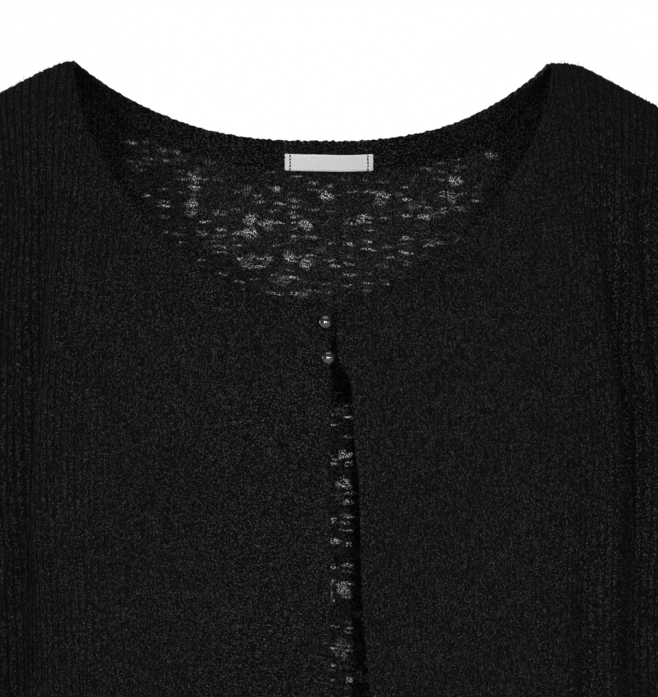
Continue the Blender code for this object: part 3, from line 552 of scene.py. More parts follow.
def section_share(side, facing, share, height):
    """Share of the section for a share of the cloth: a front starts at its own edge, not at the middle."""
    if facing > 0:
        return share
    length = np.interp(height, GRID_HEIGHTS, SECTIONS[facing][1])
    start = by_height(OPENING, height, 1) if side > 0 else -RIGHT_EDGE
    return (start + share * (length - start)) / length


def body_place(side, facing, share, height):
    """x and y of the cloth's inner surface at a height, before the shoulder turns it over."""
    inner = section_share(side, facing, share, height)
    place = section_place(facing, np.abs(inner), height)
    fold = fold_depth(side, facing, share, height)
    beyond_middle = np.where(inner < 0.0, -1.0, 1.0)
    x = side * beyond_middle * (place[..., 0] + fold * place[..., 2])
    return x + side * armhole_fan(x, height), facing * (place[..., 1] + fold * place[..., 3])


def cloth_points(side, facing, share, down):
    """Points of the inner surface of the body's cloth."""
    share = np.asarray(share, float)
    angle = np.minimum(down / SHOULDER_ROUND, math.pi / 2)
    drop = SHOULDER_ROUND * (1.0 - np.cos(angle)) + np.maximum(down - QUARTER_TURN, 0.0)
    x = np.full(share.shape, side * NECK_HALF_WIDTH)
    for _ in range(PASSES):
        height = ridge_height(x) - drop
        x, y = body_place(side, facing, share, height)
    return np.stack([x, y * np.sin(angle), height], axis=-1)


def down_at_height(side, facing, share, height):
    """Length of cloth from the shoulder line to a height."""
    share = np.asarray(share, float)
    x = body_place(side, facing, share, np.broadcast_to(height, share.shape))[0]
    drop = np.maximum(ridge_height(x) - height, 0.0)
    turned = SHOULDER_ROUND * np.arccos(np.clip(1.0 - drop / SHOULDER_ROUND, -1.0, 1.0))
    return np.where(drop < SHOULDER_ROUND, turned, QUARTER_TURN + drop - SHOULDER_ROUND)


def cloth_normals(side, facing, share, down):
    """Outward directions of the body's cloth."""
    aside, below = NORMAL_STEPS
    along = cloth_points(side, facing, np.minimum(share + aside, 1.0), down)
    along -= cloth_points(side, facing, np.maximum(share - aside, 0.0), down)
    along[share > 1.0 - aside / 2] = (0.0, -facing, 0.0)
    drop = cloth_points(side, facing, share, down + below)
    drop -= cloth_points(side, facing, share, np.maximum(down - below, 0.0))
    drop[down < below] = (0.0, facing, 0.0)
    normal = np.cross(along, drop) * (side * facing)
    return normal / np.linalg.norm(normal, axis=-1, keepdims=True)


def cloth_offset(side, facing, share, down, out):
    """Points moved out (+) or in (-) from the inner surface, clear of the shoulder and side seams."""
    points = cloth_points(side, facing, share, down)
    points = points + cloth_normals(side, facing, share, down) * np.asarray(out, float)[..., None]
    points[..., 1] += facing * PIECE_GAP / 2
    return points


def neck_height(side, facing, x):
    """Height of the neck's edge at x, seen from the front."""
    middle = NECK_SHIFT if facing < 0 else NECK_SHIFT + BACK_NECK_SHIFT
    across = np.minimum(np.abs(x - middle) / NECK_HALF_WIDTH, 1.0)
    power, rise = FRONT_NECK_POWERS if facing < 0 else BACK_NECK_POWERS
    if side > 0 and facing > 0:
        power = power + BACK_NECK_FULLER
    drop = FRONT_NECK_DROP if facing < 0 else BACK_NECK_DROP
    height = shoulder_level(x) - drop * (1.0 - across**power) ** (1.0 / rise)
    if side > 0 and facing < 0:
        height = height + LEFT_FRONT_RAISED * ease(1.0 - np.abs(x) / LEFT_FRONT_RAISED_WIDTH)
    return height


def neck_down(side, facing, share):
    """Length of cloth from the shoulder line to the neck's edge, 0 where the column reaches the shoulder."""
    low = np.zeros(share.shape)
    high = np.full(share.shape, LONGEST_NECK)
    for _ in range(HALVINGS):
        middle = 0.5 * (low + high)
        points = cloth_points(side, facing, share, middle)
        above = points[..., 2] > neck_height(side, facing, points[..., 0])
        low = np.where(above, middle, low)
        high = np.where(above, high, middle)
    return np.where(high > SHORTEST_NECK, high, 0.0)


def crossing(reaches, low, high):
    """The share between low and high past which reaches(share) is true, found by halving."""
    for _ in range(HALVINGS):
        middle = 0.5 * (low + high)
        low, high = (low, middle) if reaches(np.array([middle]))[0] else (middle, high)
    return high


def at_armhole(share):
    upright = np.full(share.shape, QUARTER_TURN)
    return np.abs(cloth_points(-1, 1, share, upright)[..., 0]) >= ARMHOLE_INNER_X


ARMHOLE_SHARE = crossing(at_armhole, 0.5, 1.0)


def neck_corner(side, facing):
    """Share at which the neck's edge meets the shoulder seam."""
    return crossing(lambda share: neck_down(side, facing, share) == 0.0, 0.2, ARMHOLE_SHARE)


def top_down(side, facing, share):
    """Length of cloth from the shoulder line to the panel's upper edge: the neck, shoulder or armhole."""
    past = np.clip((share - ARMHOLE_SHARE) / (1.0 - ARMHOLE_SHARE), 0.0, 1.0)
    curve = np.sqrt(np.maximum(1.0 - (1.0 - past) ** 2, 0.0))
    height = ARMHOLE_INNER_HEIGHT + (UNDERARM_HEIGHT - ARMHOLE_INNER_HEIGHT) * curve
    under = down_at_height(side, facing, share, height)
    return np.where(share <= ARMHOLE_SHARE, neck_down(side, facing, share), under)


def hinge_down(side, facing):
    """Length of cloth from the shoulder tip to the armhole's innermost point."""
    return down_at_height(side, facing, np.array([ARMHOLE_SHARE]), ARMHOLE_INNER_HEIGHT)[0]


def panel_width(facing):
    return float(np.interp(UNDERARM_HEIGHT, GRID_HEIGHTS, SECTIONS[facing][1]))


def crease_depth(across, down, creases):
    """Total depth of straight creases at places given by two lengths of cloth."""
    total = np.zeros(np.broadcast(across, down).shape)
    for from_across, from_down, to_across, to_down, half_width, depth in creases:
        run_across = to_across - from_across
        run_down = to_down - from_down
        length = math.hypot(run_across, run_down)
        along = ((across - from_across) * run_across + (down - from_down) * run_down) / length**2
        beside = ((across - from_across) * run_down - (down - from_down) * run_across) / length
        total += depth * bump(beside, half_width) * bump(along - 0.5, 0.5 + CREASE_FADE)
    return total


def waves(across, down, table):
    """A few waves that never line up, added together."""
    return sum(np.sin(across * wide + down * high + turn) * size for wide, high, turn, size in table)


def ripple(across, down):
    """Slight unevenness of the cloth."""
    return RIPPLE_DEPTH * waves(across, down, RIPPLES) / RIPPLES_TOP


def slub(across, down):
    """Thick and thin places of the yarn, which make the cloth's face a little bumpy."""
    waves = np.sin(across * 1430.0 + np.sin(down * 410.0) * 1.9) * np.sin(down * 690.0 + across * 57.0)
    waves += np.sin(across * 870.0 - down * 240.0 + 0.9) * np.sin(down * 1130.0 - across * 140.0 + 2.2)
    return SLUB_DEPTH * waves


def edge_fray(across):
    """Unevenness along the neck's edge."""
    return EDGE_FRAY * waves(across, 0.0, FRAY_WAVES) / FRAY_TOP


def rib_columns(width, first, last, profile):
    """Share and rise of each column across whole ribs between two places."""
    run = last - first
    ribs = round(run * width / RIB_PITCH)
    return [(first + run * (rib + across) / ribs, rise) for rib in range(ribs) for across, rise in profile]


def panel_columns(facing, profile):
    """Shares and rises of half a panel's columns from the middle to the seam, and the armhole's column."""
    width = panel_width(facing)
    strip = EDGE_STRIP / width if facing < 0 else 0.0
    columns = []
    if facing < 0:
        columns = [(0.0, 1.0), (EDGE_ROUND / width, 1.0)]
        columns += [(strip * share, rise) for share, rise in EDGE_STRIP_PROFILE]
    columns += rib_columns(width, strip, ARMHOLE_SHARE, profile)
    hinge = len(columns)
    seam = 1.0 - PIECE_GAP / width
    columns += rib_columns(width, ARMHOLE_SHARE, seam, profile)
    shares, rises = np.array(columns + [(seam, 0.0)]).T
    return shares, rises, hinge


def panel_rows(side, facing, shares, hinge, rows):
    """Place down of each row in each column. Past the armhole's column the upper rows aren't used."""
    upper, lower = rows
    tops = top_down(side, facing, shares)
    ends = down_at_height(side, facing, shares, HEM_HEIGHT)
    step = np.arange(upper + lower + 1)
    above = np.clip(step / upper, 0.0, 1.0)
    below = np.clip((step - upper) / lower, 0.0, 1.0)
    towards_hinge = np.minimum(shares / ARMHOLE_SHARE, 1.0)
    split = MIDDLE_SPLIT + (hinge_down(side, facing) / ends[hinge] - MIDDLE_SPLIT) * towards_hinge
    lengths = (ends - tops)[:, None]
    full = tops[:, None] + lengths * (split[:, None] * above + (1.0 - split)[:, None] * below)
    part = tops[:, None] + lengths * below
    down = np.where((np.arange(len(shares)) <= hinge)[:, None], full, part)
    fray = edge_fray(side * shares * panel_width(facing))[:hinge + 1]
    down[:hinge + 1, 0] += np.where(tops[:hinge + 1] > SHORTEST_NECK, fray, 0.0)
    down[:, -2] = down[:, -1] - EDGE_ROUND
    down[:hinge + 1, 1] = down[:hinge + 1, 0] + EDGE_ROUND
    return down


def wall_face(rises, outside):
    """Height of the wall's outer or inner face over the cloth's inner surface, and what its edges add."""
    return (WALL + RIB_HEIGHT * rises, -EDGE_IN) if outside else (-INNER_RIB_HEIGHT * rises, EDGE_IN)


def panel_sheet(side, facing, profile, rows, outside):
    """Points and cloth coordinates of one face of half a panel's wall, and the armhole's column."""
    shares, rises, hinge = panel_columns(facing, profile)
    down = panel_rows(side, facing, shares, hinge, rows)
    share = np.repeat(shares[:, None], down.shape[1], axis=1)
    across = side * share * panel_width(facing)
    height, edge = wall_face(rises[:, None], outside)
    ends = np.zeros_like(down)
    ends[:, -1] = 1.0
    ends[:hinge + 1, 0] = 1.0
    if facing < 0:
        ends[0, :] = 1.0
        ends[0, 0] = CORNER_ROUND
    out = height + ends * edge + crease_depth(across, down, CREASES[facing]) + ripple(across, down)
    if outside:
        out = out + slub(across, down)
    return cloth_offset(side, facing, share, down, out), np.stack([across, down], axis=-1) / RIB_PITCH, hinge


def grid_faces(columns, rows, hinge, first_row, start):
    """Quads of a grid of vertices numbered from start, without the block above first_row past the hinge."""
    column, row = np.meshgrid(np.arange(columns - 1), np.arange(rows - 1), indexing="ij")
    kept = (column < hinge) | (row >= first_row)
    corner = start + column[kept] * rows + row[kept]
    return np.stack([corner, corner + 1, corner + rows + 1, corner + rows], axis=-1)


def edge_loop(columns, rows, hinge, first_row, start, which):
    """Vertices along one edge of such a grid."""
    if which == "middle":
        return start + np.arange(rows)
    if which == "seam":
        return start + (columns - 1) * rows + np.arange(first_row, rows)
    if which == "hem":
        return start + np.arange(columns) * rows + rows - 1
    top = np.arange(hinge + 1) * rows
    drop = hinge * rows + np.arange(1, first_row + 1)
    rest = np.arange(hinge + 1, columns) * rows + first_row
    return start + np.concatenate([top, drop, rest])


def zip_rims(points, left, right):
    """Triangles between two lines of vertices, taken in the order of the way travelled along each."""
    places = []
    for line in (left, right):
        steps = np.linalg.norm(np.diff(points[line], axis=0), axis=1)
        places.append([0.0, *np.cumsum(steps) / steps.sum(), math.inf])
    faces = []
    i = j = 0
    while i < len(left) - 1 or j < len(right) - 1:
        if places[0][i + 1] <= places[1][j + 1]:
            faces.append((left[i], left[i + 1], right[j]))
            i += 1
        else:
            faces.append((left[i], right[j + 1], right[j]))
            j += 1
    return faces


def joined(outer, inner):
    """Points and cloth coordinates of a wall's two faces in one list, and where the inner ones start."""
    points = np.concatenate([sheet[0].reshape(-1, 3) for sheet in (outer, inner)])
    cloth = np.concatenate([sheet[1].reshape(-1, 2) for sheet in (outer, inner)])
    return points, cloth, outer[0].size // 3


def half_panel(side, facing, profile, rows, edges):
    """Points, cloth coordinates, quads and rim triangles of half a panel's wall."""
    outer = panel_sheet(side, facing, profile, rows, True)
    inner = panel_sheet(side, facing, INNER_RIB_PROFILE, rows, False)
    points, cloth, start = joined(outer, inner)
    grids = [(*sheet[0].shape[:2], sheet[2], rows[0], first) for sheet, first in ((outer, 0), (inner, start))]
    quads = np.concatenate([grid_faces(*grids[0]), grid_faces(*grids[1])[:, ::-1]])
    rims = [face for edge in edges for face in zip_rims(points, *[edge_loop(*grid, edge) for grid in grids])]
    return points, cloth, quads[:, ::-1] if side * facing > 0 else quads, np.array(rims)


def place_object(name, data):
    item = bpy.data.objects.new(name, data)
    bpy.context.scene.collection.objects.link(item)
    return item


def add_piece(name, mesh, material):
    """A smooth-shaded piece that rides on the garment."""
    mesh.shade_smooth()
    mesh.materials.append(material)
    item = place_object(name, mesh)
    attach(item, "root")
    return item


def make_mesh(name, points, cloth, quads, triangles, material, period=None):
    """A piece from quads and triangles, with the cloth coordinates as its UV map."""
    used = np.unique(np.concatenate([quads.ravel(), triangles.ravel()]))
    renumber = np.full(len(points), -1)
    renumber[used] = np.arange(len(used))
    mesh = bpy.data.meshes.new(name)
    mesh.from_pydata(points[used].tolist(), [], renumber[quads].tolist() + renumber[triangles].tolist())
    corners = np.empty(len(mesh.loops), np.int32)
    mesh.loops.foreach_get("vertex_index", corners)
    placed = cloth[used][corners]
    if period is not None:
        wrap_round(mesh, placed, period)
    mesh.uv_layers.new(name="cloth").data.foreach_set("uv", placed.astype(np.float32).ravel())
    turn_outward(mesh)
    return add_piece(name, mesh, material)


def wrap_round(mesh, placed, period):
    """Adds a turn to the small coordinates of each face that crosses the line where they start again."""
    sizes = np.empty(len(mesh.polygons), np.int32)
    mesh.polygons.foreach_get("loop_total", sizes)
    face_of = np.repeat(np.arange(len(sizes)), sizes)
    highest = np.full(len(sizes), -np.inf)
    np.maximum.at(highest, face_of, placed[:, 0])
    placed[:, 0] += np.where(highest[face_of] - placed[:, 0] > period / 2, period, 0.0)


def turn_outward(mesh, merge=0.0):
    """Merges vertices nearer than a distance, and turns all faces outward."""
    work = bmesh.new()
    work.from_mesh(mesh)
    if merge > 0.0:
        bmesh.ops.remove_doubles(work, verts=work.verts, dist=merge)
    bmesh.ops.recalc_face_normals(work, faces=work.faces)
    if work.calc_volume(signed=True) < 0:
        bmesh.ops.reverse_faces(work, faces=work.faces)
    work.to_mesh(mesh)
    work.free()


def make_front(side, name, material):
    half = half_panel(side, -1, RIB_PROFILE, FRONT_ROWS, ("middle", "seam", "hem", "top"))
    return make_mesh(name, *half, material)


def make_back(name, material):
    """Both halves of the back, joined down the middle."""
    edges = ("seam", "hem", "top")
    right, left = (half_panel(side, 1, COARSE_RIB_PROFILE, BACK_ROWS, edges) for side in (-1, 1))
    shifts = (0, 0, len(right[0]), len(right[0]))
    both = [np.concatenate([first, second + shift]) for first, second, shift in zip(right, left, shifts)]
    item = make_mesh(name, *both, material)
    turn_outward(item.data, MIDDLE_MERGE)
    return item


def armhole_ring(side, turns):
    """Points round the armhole from the shoulder tip by the front, underarm and back, one for each turn."""
    halves = []
    for facing in (-1, 1):
        down = np.linspace(0.0, hinge_down(side, facing), ARMHOLE_STEPS)
        under = ARMHOLE_SHARE + (1.0 - ARMHOLE_SHARE) * np.linspace(0.0, 1.0, ARMHOLE_STEPS * 2)[1:] ** 1.5
        shares = np.concatenate([np.full(ARMHOLE_STEPS, ARMHOLE_SHARE), under])
        points = cloth_points(side, facing, shares, np.concatenate([down, top_down(side, facing, under)]))
        halves.append(points if facing < 0 else points[::-1][1:])
    line = np.concatenate(halves)
    lengths = travelled(line)
    targets = turns / (2 * math.pi) * lengths[-1]
    return np.stack([np.interp(targets, lengths, line[:, axis]) for axis in range(3)], axis=-1)


def plain_ring(ring, side, turns):
    outer_x, outer_z, inner_x, inner_z, half_depth, middle_y, _ = ring
    x = side * ((outer_x + inner_x) / 2 + (outer_x - inner_x) / 2 * np.cos(turns))
    y = middle_y - half_depth * np.sin(turns)
    z = (outer_z + inner_z) / 2 + (outer_z - inner_z) / 2 * np.cos(turns)
    return np.stack([x, y, z], axis=-1)


def coarse_rings(side, turns):
    """The frame's rings on the sleeve's inner surface, the first one at the armhole."""
    own_shape = armhole_ring(side, turns) - plain_ring(SLEEVE_RINGS[0], side, turns)
    rings = []
    for index, ring in enumerate(SLEEVE_RINGS):
        points = plain_ring(ring, side, turns)
        towards = points.mean(axis=0) - points
        towards /= np.linalg.norm(towards, axis=1, keepdims=True)
        fold = np.zeros_like(turns)
        for angle, half_width, depths in SLEEVE_CREASES:
            fold += depths[index] * bump((np.degrees(turns) - angle + 180.0) % 360.0 - 180.0, half_width)
        rings.append(points + own_shape * ring[-1] + towards * fold[:, None])
    rings = np.array(rings)
    rings[0, :, 0] += side * PIECE_GAP
    return rings


def fine_rings(side, turns):
    """Rings at equal steps on a smooth surface through the coarse ones, and their places along it."""
    rings = coarse_rings(side, turns)
    lengths = travelled(rings)
    targets = np.linspace(0.0, lengths[-1], SLEEVE_ROWS)
    targets[1] = EDGE_ROUND
    targets[-2] = lengths[-1] - EDGE_ROUND
    return smooth_between(lengths, rings, targets), targets


def ring_normals(rings):
    around = np.roll(rings, -1, axis=1) - np.roll(rings, 1, axis=1)
    along = np.gradient(rings, axis=0)
    normals = np.cross(around, along)
    normals /= np.linalg.norm(normals, axis=-1, keepdims=True)
    outward = np.sum(normals * (rings - rings.mean(axis=1, keepdims=True)), axis=-1).mean()
    return normals if outward > 0 else -normals


def sleeve_sheet(side, profile, outside):
    """Points and cloth coordinates of one face of the sleeve's wall, as a grid of turns by rows."""
    columns = [(rib + across, rise) for rib in range(SLEEVE_RIBS) for across, rise in profile]
    place, rises = np.array(columns).T
    rings, along = fine_rings(side, 2 * math.pi * place / SLEEVE_RIBS)
    around = place[None, :] * RIB_PITCH + np.zeros_like(along)[:, None]
    down = along[:, None] + np.zeros_like(around)
    height, edge = wall_face(rises, outside)
    out = height[None, :] + np.zeros_like(down)
    out[[0, -1]] += edge
    out = out + crease_depth(around, down, SLEEVE_RELIEF) + ripple(around + side, down)
    points = rings + ring_normals(rings) * out[..., None]
    cloth = np.stack([around, down], axis=-1) / RIB_PITCH
    return points.transpose(1, 0, 2), cloth.transpose(1, 0, 2)


def tube_faces(columns, start):
    """Quads of a wall's face all round a sleeve, of vertices numbered from start."""
    column, row = np.meshgrid(np.arange(columns), np.arange(SLEEVE_ROWS - 1), indexing="ij")
    here = start + column * SLEEVE_ROWS + row
    there = start + ((column + 1) % columns) * SLEEVE_ROWS + row
    return np.stack([here, here + 1, there + 1, there], axis=-1).reshape(-1, 4)


def make_sleeve(side, name, material):
    outer = sleeve_sheet(side, COARSE_RIB_PROFILE, True)
    inner = sleeve_sheet(side, INNER_RIB_PROFILE, False)
    points, cloth, start = joined(outer, inner)
    sizes = ((len(outer[0]), 0), (len(inner[0]), start))
    quads = np.concatenate([tube_faces(*sizes[0]), tube_faces(*sizes[1])[:, ::-1]])
    rims = []
    for row in (0, SLEEVE_ROWS - 1):
        lines = [first + np.arange(columns + 1) % columns * SLEEVE_ROWS + row for columns, first in sizes]
        rims += zip_rims(points, *lines)
    return make_mesh(name, points, cloth, quads, np.array(rims), material, SLEEVE_RIBS)


def back_inside(side, share, down, depth):
    """Points a depth into the garment from the back's inner surface, moved with its creases."""
    across = side * share * panel_width(1)
    out = crease_depth(across, down, BACK_CREASES) + ripple(across, down) - INNER_RIB_HEIGHT - depth
    return cloth_offset(side, 1, share, down, out)


def neck_places(side, count):
    """Shares along half the back neck's edge, from the middle to the shoulder seam."""
    corner = neck_corner(side, 1) - BAND_ENDS / panel_width(1)
    return corner * np.linspace(0.0, 1.0, count) ** 0.8


def band_widening(side, shares):
    """How much longer the band's width is down the cloth than square to the neck's edge."""
    tops = neck_down(side, 1, shares)
    edge = cloth_points(side, 1, shares, tops)
    slope = np.abs(np.gradient(edge[:, 2], edge[:, 0]))
    return tops, np.sqrt(1.0 + np.minimum(slope, BAND_STEEPEST) ** 2)


def ribbon(points, cloth, name, material):
    """A closed strip from a grid of columns by a ring of section points, capped at its two ends."""
    columns, around = points.shape[:2]
    column, step = np.meshgrid(np.arange(columns - 1), np.arange(around), indexing="ij")
    here = column.ravel() * around + step.ravel()
    beside = column.ravel() * around + (step.ravel() + 1) % around
    quads = np.stack([here, beside, beside + around, here + around], axis=-1)
    caps = []
    for base in (0, (columns - 1) * around):
        caps += [(base, base + step, base + step + 1) for step in range(1, around - 1)]
    return make_mesh(name, points.reshape(-1, 3), cloth.reshape(-1, 2), quads, np.array(caps), material)


def make_neck_band(material):
    """The double strip along the back neck."""
    drops, depths = np.array(NECK_BAND_PROFILE).T
    strips = []
    coordinates = []
    for side in (-1, 1):
        shares = neck_places(side, BAND_COLUMNS)
        tops, widening = band_widening(side, shares)
        fray = np.where(tops > SHORTEST_NECK, edge_fray(side * shares * panel_width(1)), 0.0)
        down = np.maximum(tops[:, None] + fray[:, None] + drops * widening[:, None], 0.0)
        share = np.repeat(shares[:, None], len(drops), axis=1)
        points = back_inside(side, share, down, depths)
        placed = np.stack([side * share * panel_width(1), down], axis=-1) / RIB_PITCH
        strips.append(points[::-1] if side < 0 else points[1:])
        coordinates.append(placed[::-1] if side < 0 else placed[1:])
    return ribbon(np.concatenate(strips), np.concatenate(coordinates), "neck_band_cloth", material)


def label_share(side, distance):
    """Share of the cloth's width at a distance from the middle, straight across along the neck's edge."""
    shares = np.linspace(0.0, LABEL_WIDTH / panel_width(1), 24)
    edge = cloth_points(side, 1, shares, neck_down(side, 1, shares))
    return np.interp(distance, np.abs(edge[:, 0]), shares)


def label_point(x, drop, depth):
    """Points on the neck band at x, a drop below the neck's edge and a depth into the garment."""
    points = np.empty(x.shape + (3,))
    for side in (-1, 1):
        own = (x >= 0.0) if side > 0 else (x < 0.0)
        share = label_share(side, np.abs(x[own]))
        down = neck_down(side, 1, share) + drop[own]
        points[own] = back_inside(side, share, down, depth[own])
    return points


def make_label(material):
    """The blank label: a thin woven strip whose ends turn under."""
    lift = NECK_BAND_THICK + 0.0001
    share_down, depth = np.array(LABEL_SECTION).T
    x = np.repeat(np.linspace(-LABEL_WIDTH / 2, LABEL_WIDTH / 2, 40)[:, None], len(depth), axis=1)
    drop = LABEL_DROP + share_down * LABEL_HEIGHT + LABEL_TILT * x
    depths = np.broadcast_to(lift + LABEL_THICK * depth, x.shape).copy()
    depths[[0, -1]] -= LABEL_THICK * 0.5
    depths = np.maximum(depths, lift - LABEL_THICK * 0.2)
    cloth = np.stack([x, drop], axis=-1) / RIB_PITCH
    return ribbon(label_point(x, drop, depths), cloth, "label_cloth", material)


def rods(name, starts, rings, ends, material):
    """Many thin rods in one mesh, each with a point at both ends and rings of points between them."""
    count, sides = rings[0].shape[:2]
    points = np.concatenate([starts[:, None], *rings, ends[:, None]], axis=1)
    base = np.arange(count)[:, None] * points.shape[1]
    last = points.shape[1] - 1
    quads = []
    tips = []
    for step in range(sides):
        beyond = (step + 1) % sides
        tips += [(0, 1 + beyond, 1 + step), (last, last - sides + step, last - sides + beyond)]
        for low in range(1, last - sides, sides):
            quads.append((low + step, low + beyond, low + sides + beyond, low + sides + step))
    quads, tips = (np.concatenate([base + face for face in np.array(faces)]) for faces in (quads, tips))
    return make_mesh(name, points.reshape(-1, 3), np.zeros((points.size // 3, 2)), quads, tips, material)


def stitches(name, lines, radius, material):
    """Short threads between the first line's points and the second's."""
    starts, ends = (np.concatenate(line) for line in lines)
    run = ends - starts
    run /= np.linalg.norm(run, axis=1, keepdims=True)
    first = np.cross(run, (0.31, 0.83, 0.47))
    first /= np.linalg.norm(first, axis=1, keepdims=True)
    second = np.cross(run, first)
    turns = 2 * math.pi * np.arange(STITCH_SIDES)[:, None] / STITCH_SIDES
    ring = radius * (np.cos(turns) * first[:, None] + np.sin(turns) * second[:, None])
    rings = [(starts + (ends - starts) * along)[:, None] + ring * size for along, size in STITCH_RINGS]
    return rods(name, starts, rings, ends, material)


def label_stitches(material):
    """A short column of stitches at each end of the label."""
    lines = ([], [])
    step = np.arange(LABEL_STITCHES)
    for end in (-1, 1):
        x = np.full(LABEL_STITCHES, end * (LABEL_WIDTH / 2 - LABEL_STITCH_INSET))
        lift = np.full(LABEL_STITCHES, NECK_BAND_THICK + LABEL_THICK * 1.25)
        top = LABEL_DROP + LABEL_TILT * x + LABEL_HEIGHT * (step + 0.03) / LABEL_STITCHES
        slant = LABEL_STITCH_SLANT * np.cos(step * 1.9)
        lines[0].append(label_point(x + slant, top, lift))
        lines[1].append(label_point(x - slant, top + LABEL_HEIGHT * 0.94 / LABEL_STITCHES, lift))
    return stitches("label_stitches", lines, LABEL_STITCH_RADIUS, material)


def band_stitches(material):
    """The row of stitches that holds the neck band's lower edge."""
    lines = ([], [])
    width = panel_width(1)
    first, last, step, length = BAND_STITCHES
    for side in (-1, 1):
        places = np.arange(first, neck_places(side, 3)[-1] * width - last, step)
        for line, along in zip(lines, (0.0, length)):
            shares = (places + along) / width
            tops, widening = band_widening(side, shares)
            line.append(back_inside(side, shares, tops + BAND_STITCH_DROP * widening, NECK_BAND_THICK))
    return stitches("neck_band_stitches", lines, STITCH_RADIUS, material)


def hem_stitches(material):
    """Rows of stitches round the hem and both cuffs."""
    lines = ([], [])
    for facing in (-1, 1):
        width = panel_width(facing)
        places = np.arange(HEM_CLEAR[0], width - HEM_CLEAR[1], STITCH_STEP)
        for side in (-1, 1):
            for line, along in zip(lines, (0.0, STITCH_LENGTH)):
                shares = (places + along) / width
                down = down_at_height(side, facing, shares, HEM_HEIGHT) - HEM_DEPTH
                across = side * shares * width
                out = crease_depth(across, down, CREASES[facing]) + ripple(across, down) + STITCH_RISE
                line.append(cloth_offset(side, facing, shares, down, out))
    length = SLEEVE_RIBS * RIB_PITCH
    places = np.arange(0.0, length * 0.999, STITCH_STEP * CUFF_STITCH_SCALE)
    for side in (-1, 1):
        for line, along in zip(lines, (0.0, STITCH_LENGTH * CUFF_STITCH_SCALE)):
            rings, _ = fine_rings(side, 2 * math.pi * (places + along) / length % (2 * math.pi))
            line.append(rings[CUFF_ROW] + ring_normals(rings)[CUFF_ROW] * STITCH_RISE)
    return stitches("hem_stitches", lines, STITCH_RADIUS, material)


def make_button(which, x, height, material):
    """A smooth ball that stands where the frame's ball does, with its shank."""
    low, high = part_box("button_" + which)
    centre = Vector((x, low[1] + BUTTON_RADIUS, height))
    length = high[1] - centre.y
    upright = Matrix.Rotation(math.radians(90), 4, "X")
    work = bmesh.new()
    columns, rings = BALL_FACES
    ball = bmesh.ops.create_uvsphere(work, u_segments=columns, v_segments=rings, radius=BUTTON_RADIUS)
    shank = bmesh.ops.create_cone(
        work, cap_ends=True, segments=SHANK_SIDES, radius1=SHANK_RADIUS, radius2=SHANK_RADIUS, depth=length
    )
    for made, place in ((ball, centre), (shank, centre + Vector((0.0, length / 2, 0.0)))):
        bmesh.ops.transform(work, matrix=Matrix.Translation(place) @ upright, verts=made["verts"])
    mesh = bpy.data.meshes.new("button_%s_ball" % which)
    work.to_mesh(mesh)
    work.free()
    return add_piece(mesh.name, mesh, material)


def make_loop(which, x, height, material):
    """A twisted cord from the left front's edge round the shank and back, on the frame's own route."""
    low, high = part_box("loop_" + which)
    foot_z = LOOP_RADIUS * LOOP_SPREAD
    route = [(high[0], high[1] - LOOP_WIRE, height + foot_z)]
    for step in range(LOOP_TURNS + 1):
        angle = math.pi / 2 + math.pi * step / LOOP_TURNS
        round_x = x + LOOP_RADIUS * math.cos(angle)
        route.append((round_x, low[1] + LOOP_WIRE, height + LOOP_RADIUS * math.sin(angle)))
    route.append((high[0], high[1] - LOOP_WIRE, height - foot_z))
    route = np.array(route)
    way = travelled(route)
    along = np.linspace(0.0, way[-1], CORD_STEPS)
    centres = smooth_between(way, route, along)
    tangents = np.gradient(centres, axis=0)
    tangents /= np.linalg.norm(tangents, axis=1, keepdims=True)
    outward = np.array([0.0, -1.0, 0.0]) - tangents * -tangents[:, 1:2]
    outward /= np.linalg.norm(outward, axis=1, keepdims=True)
    beside = np.cross(tangents, outward)
    turns = 2 * math.pi * np.arange(CORD_SIDES) / CORD_SIDES
    ridge = 1.0 - CORD_RIDGE * (0.5 - 0.5 * np.cos(2 * (turns[None, :] - along[:, None] * CORD_TWIST)))
    ring = np.cos(turns)[None, :, None] * outward[:, None] + np.sin(turns)[None, :, None] * beside[:, None]
    points = centres[:, None] + ring * (LOOP_WIRE * ridge)[..., None]
    cloth = np.stack([np.broadcast_to(turns, ridge.shape), along[:, None] / LOOP_WIRE + 0 * ridge], axis=-1)
    return ribbon(points, cloth, "loop_%s_cord" % which, material)


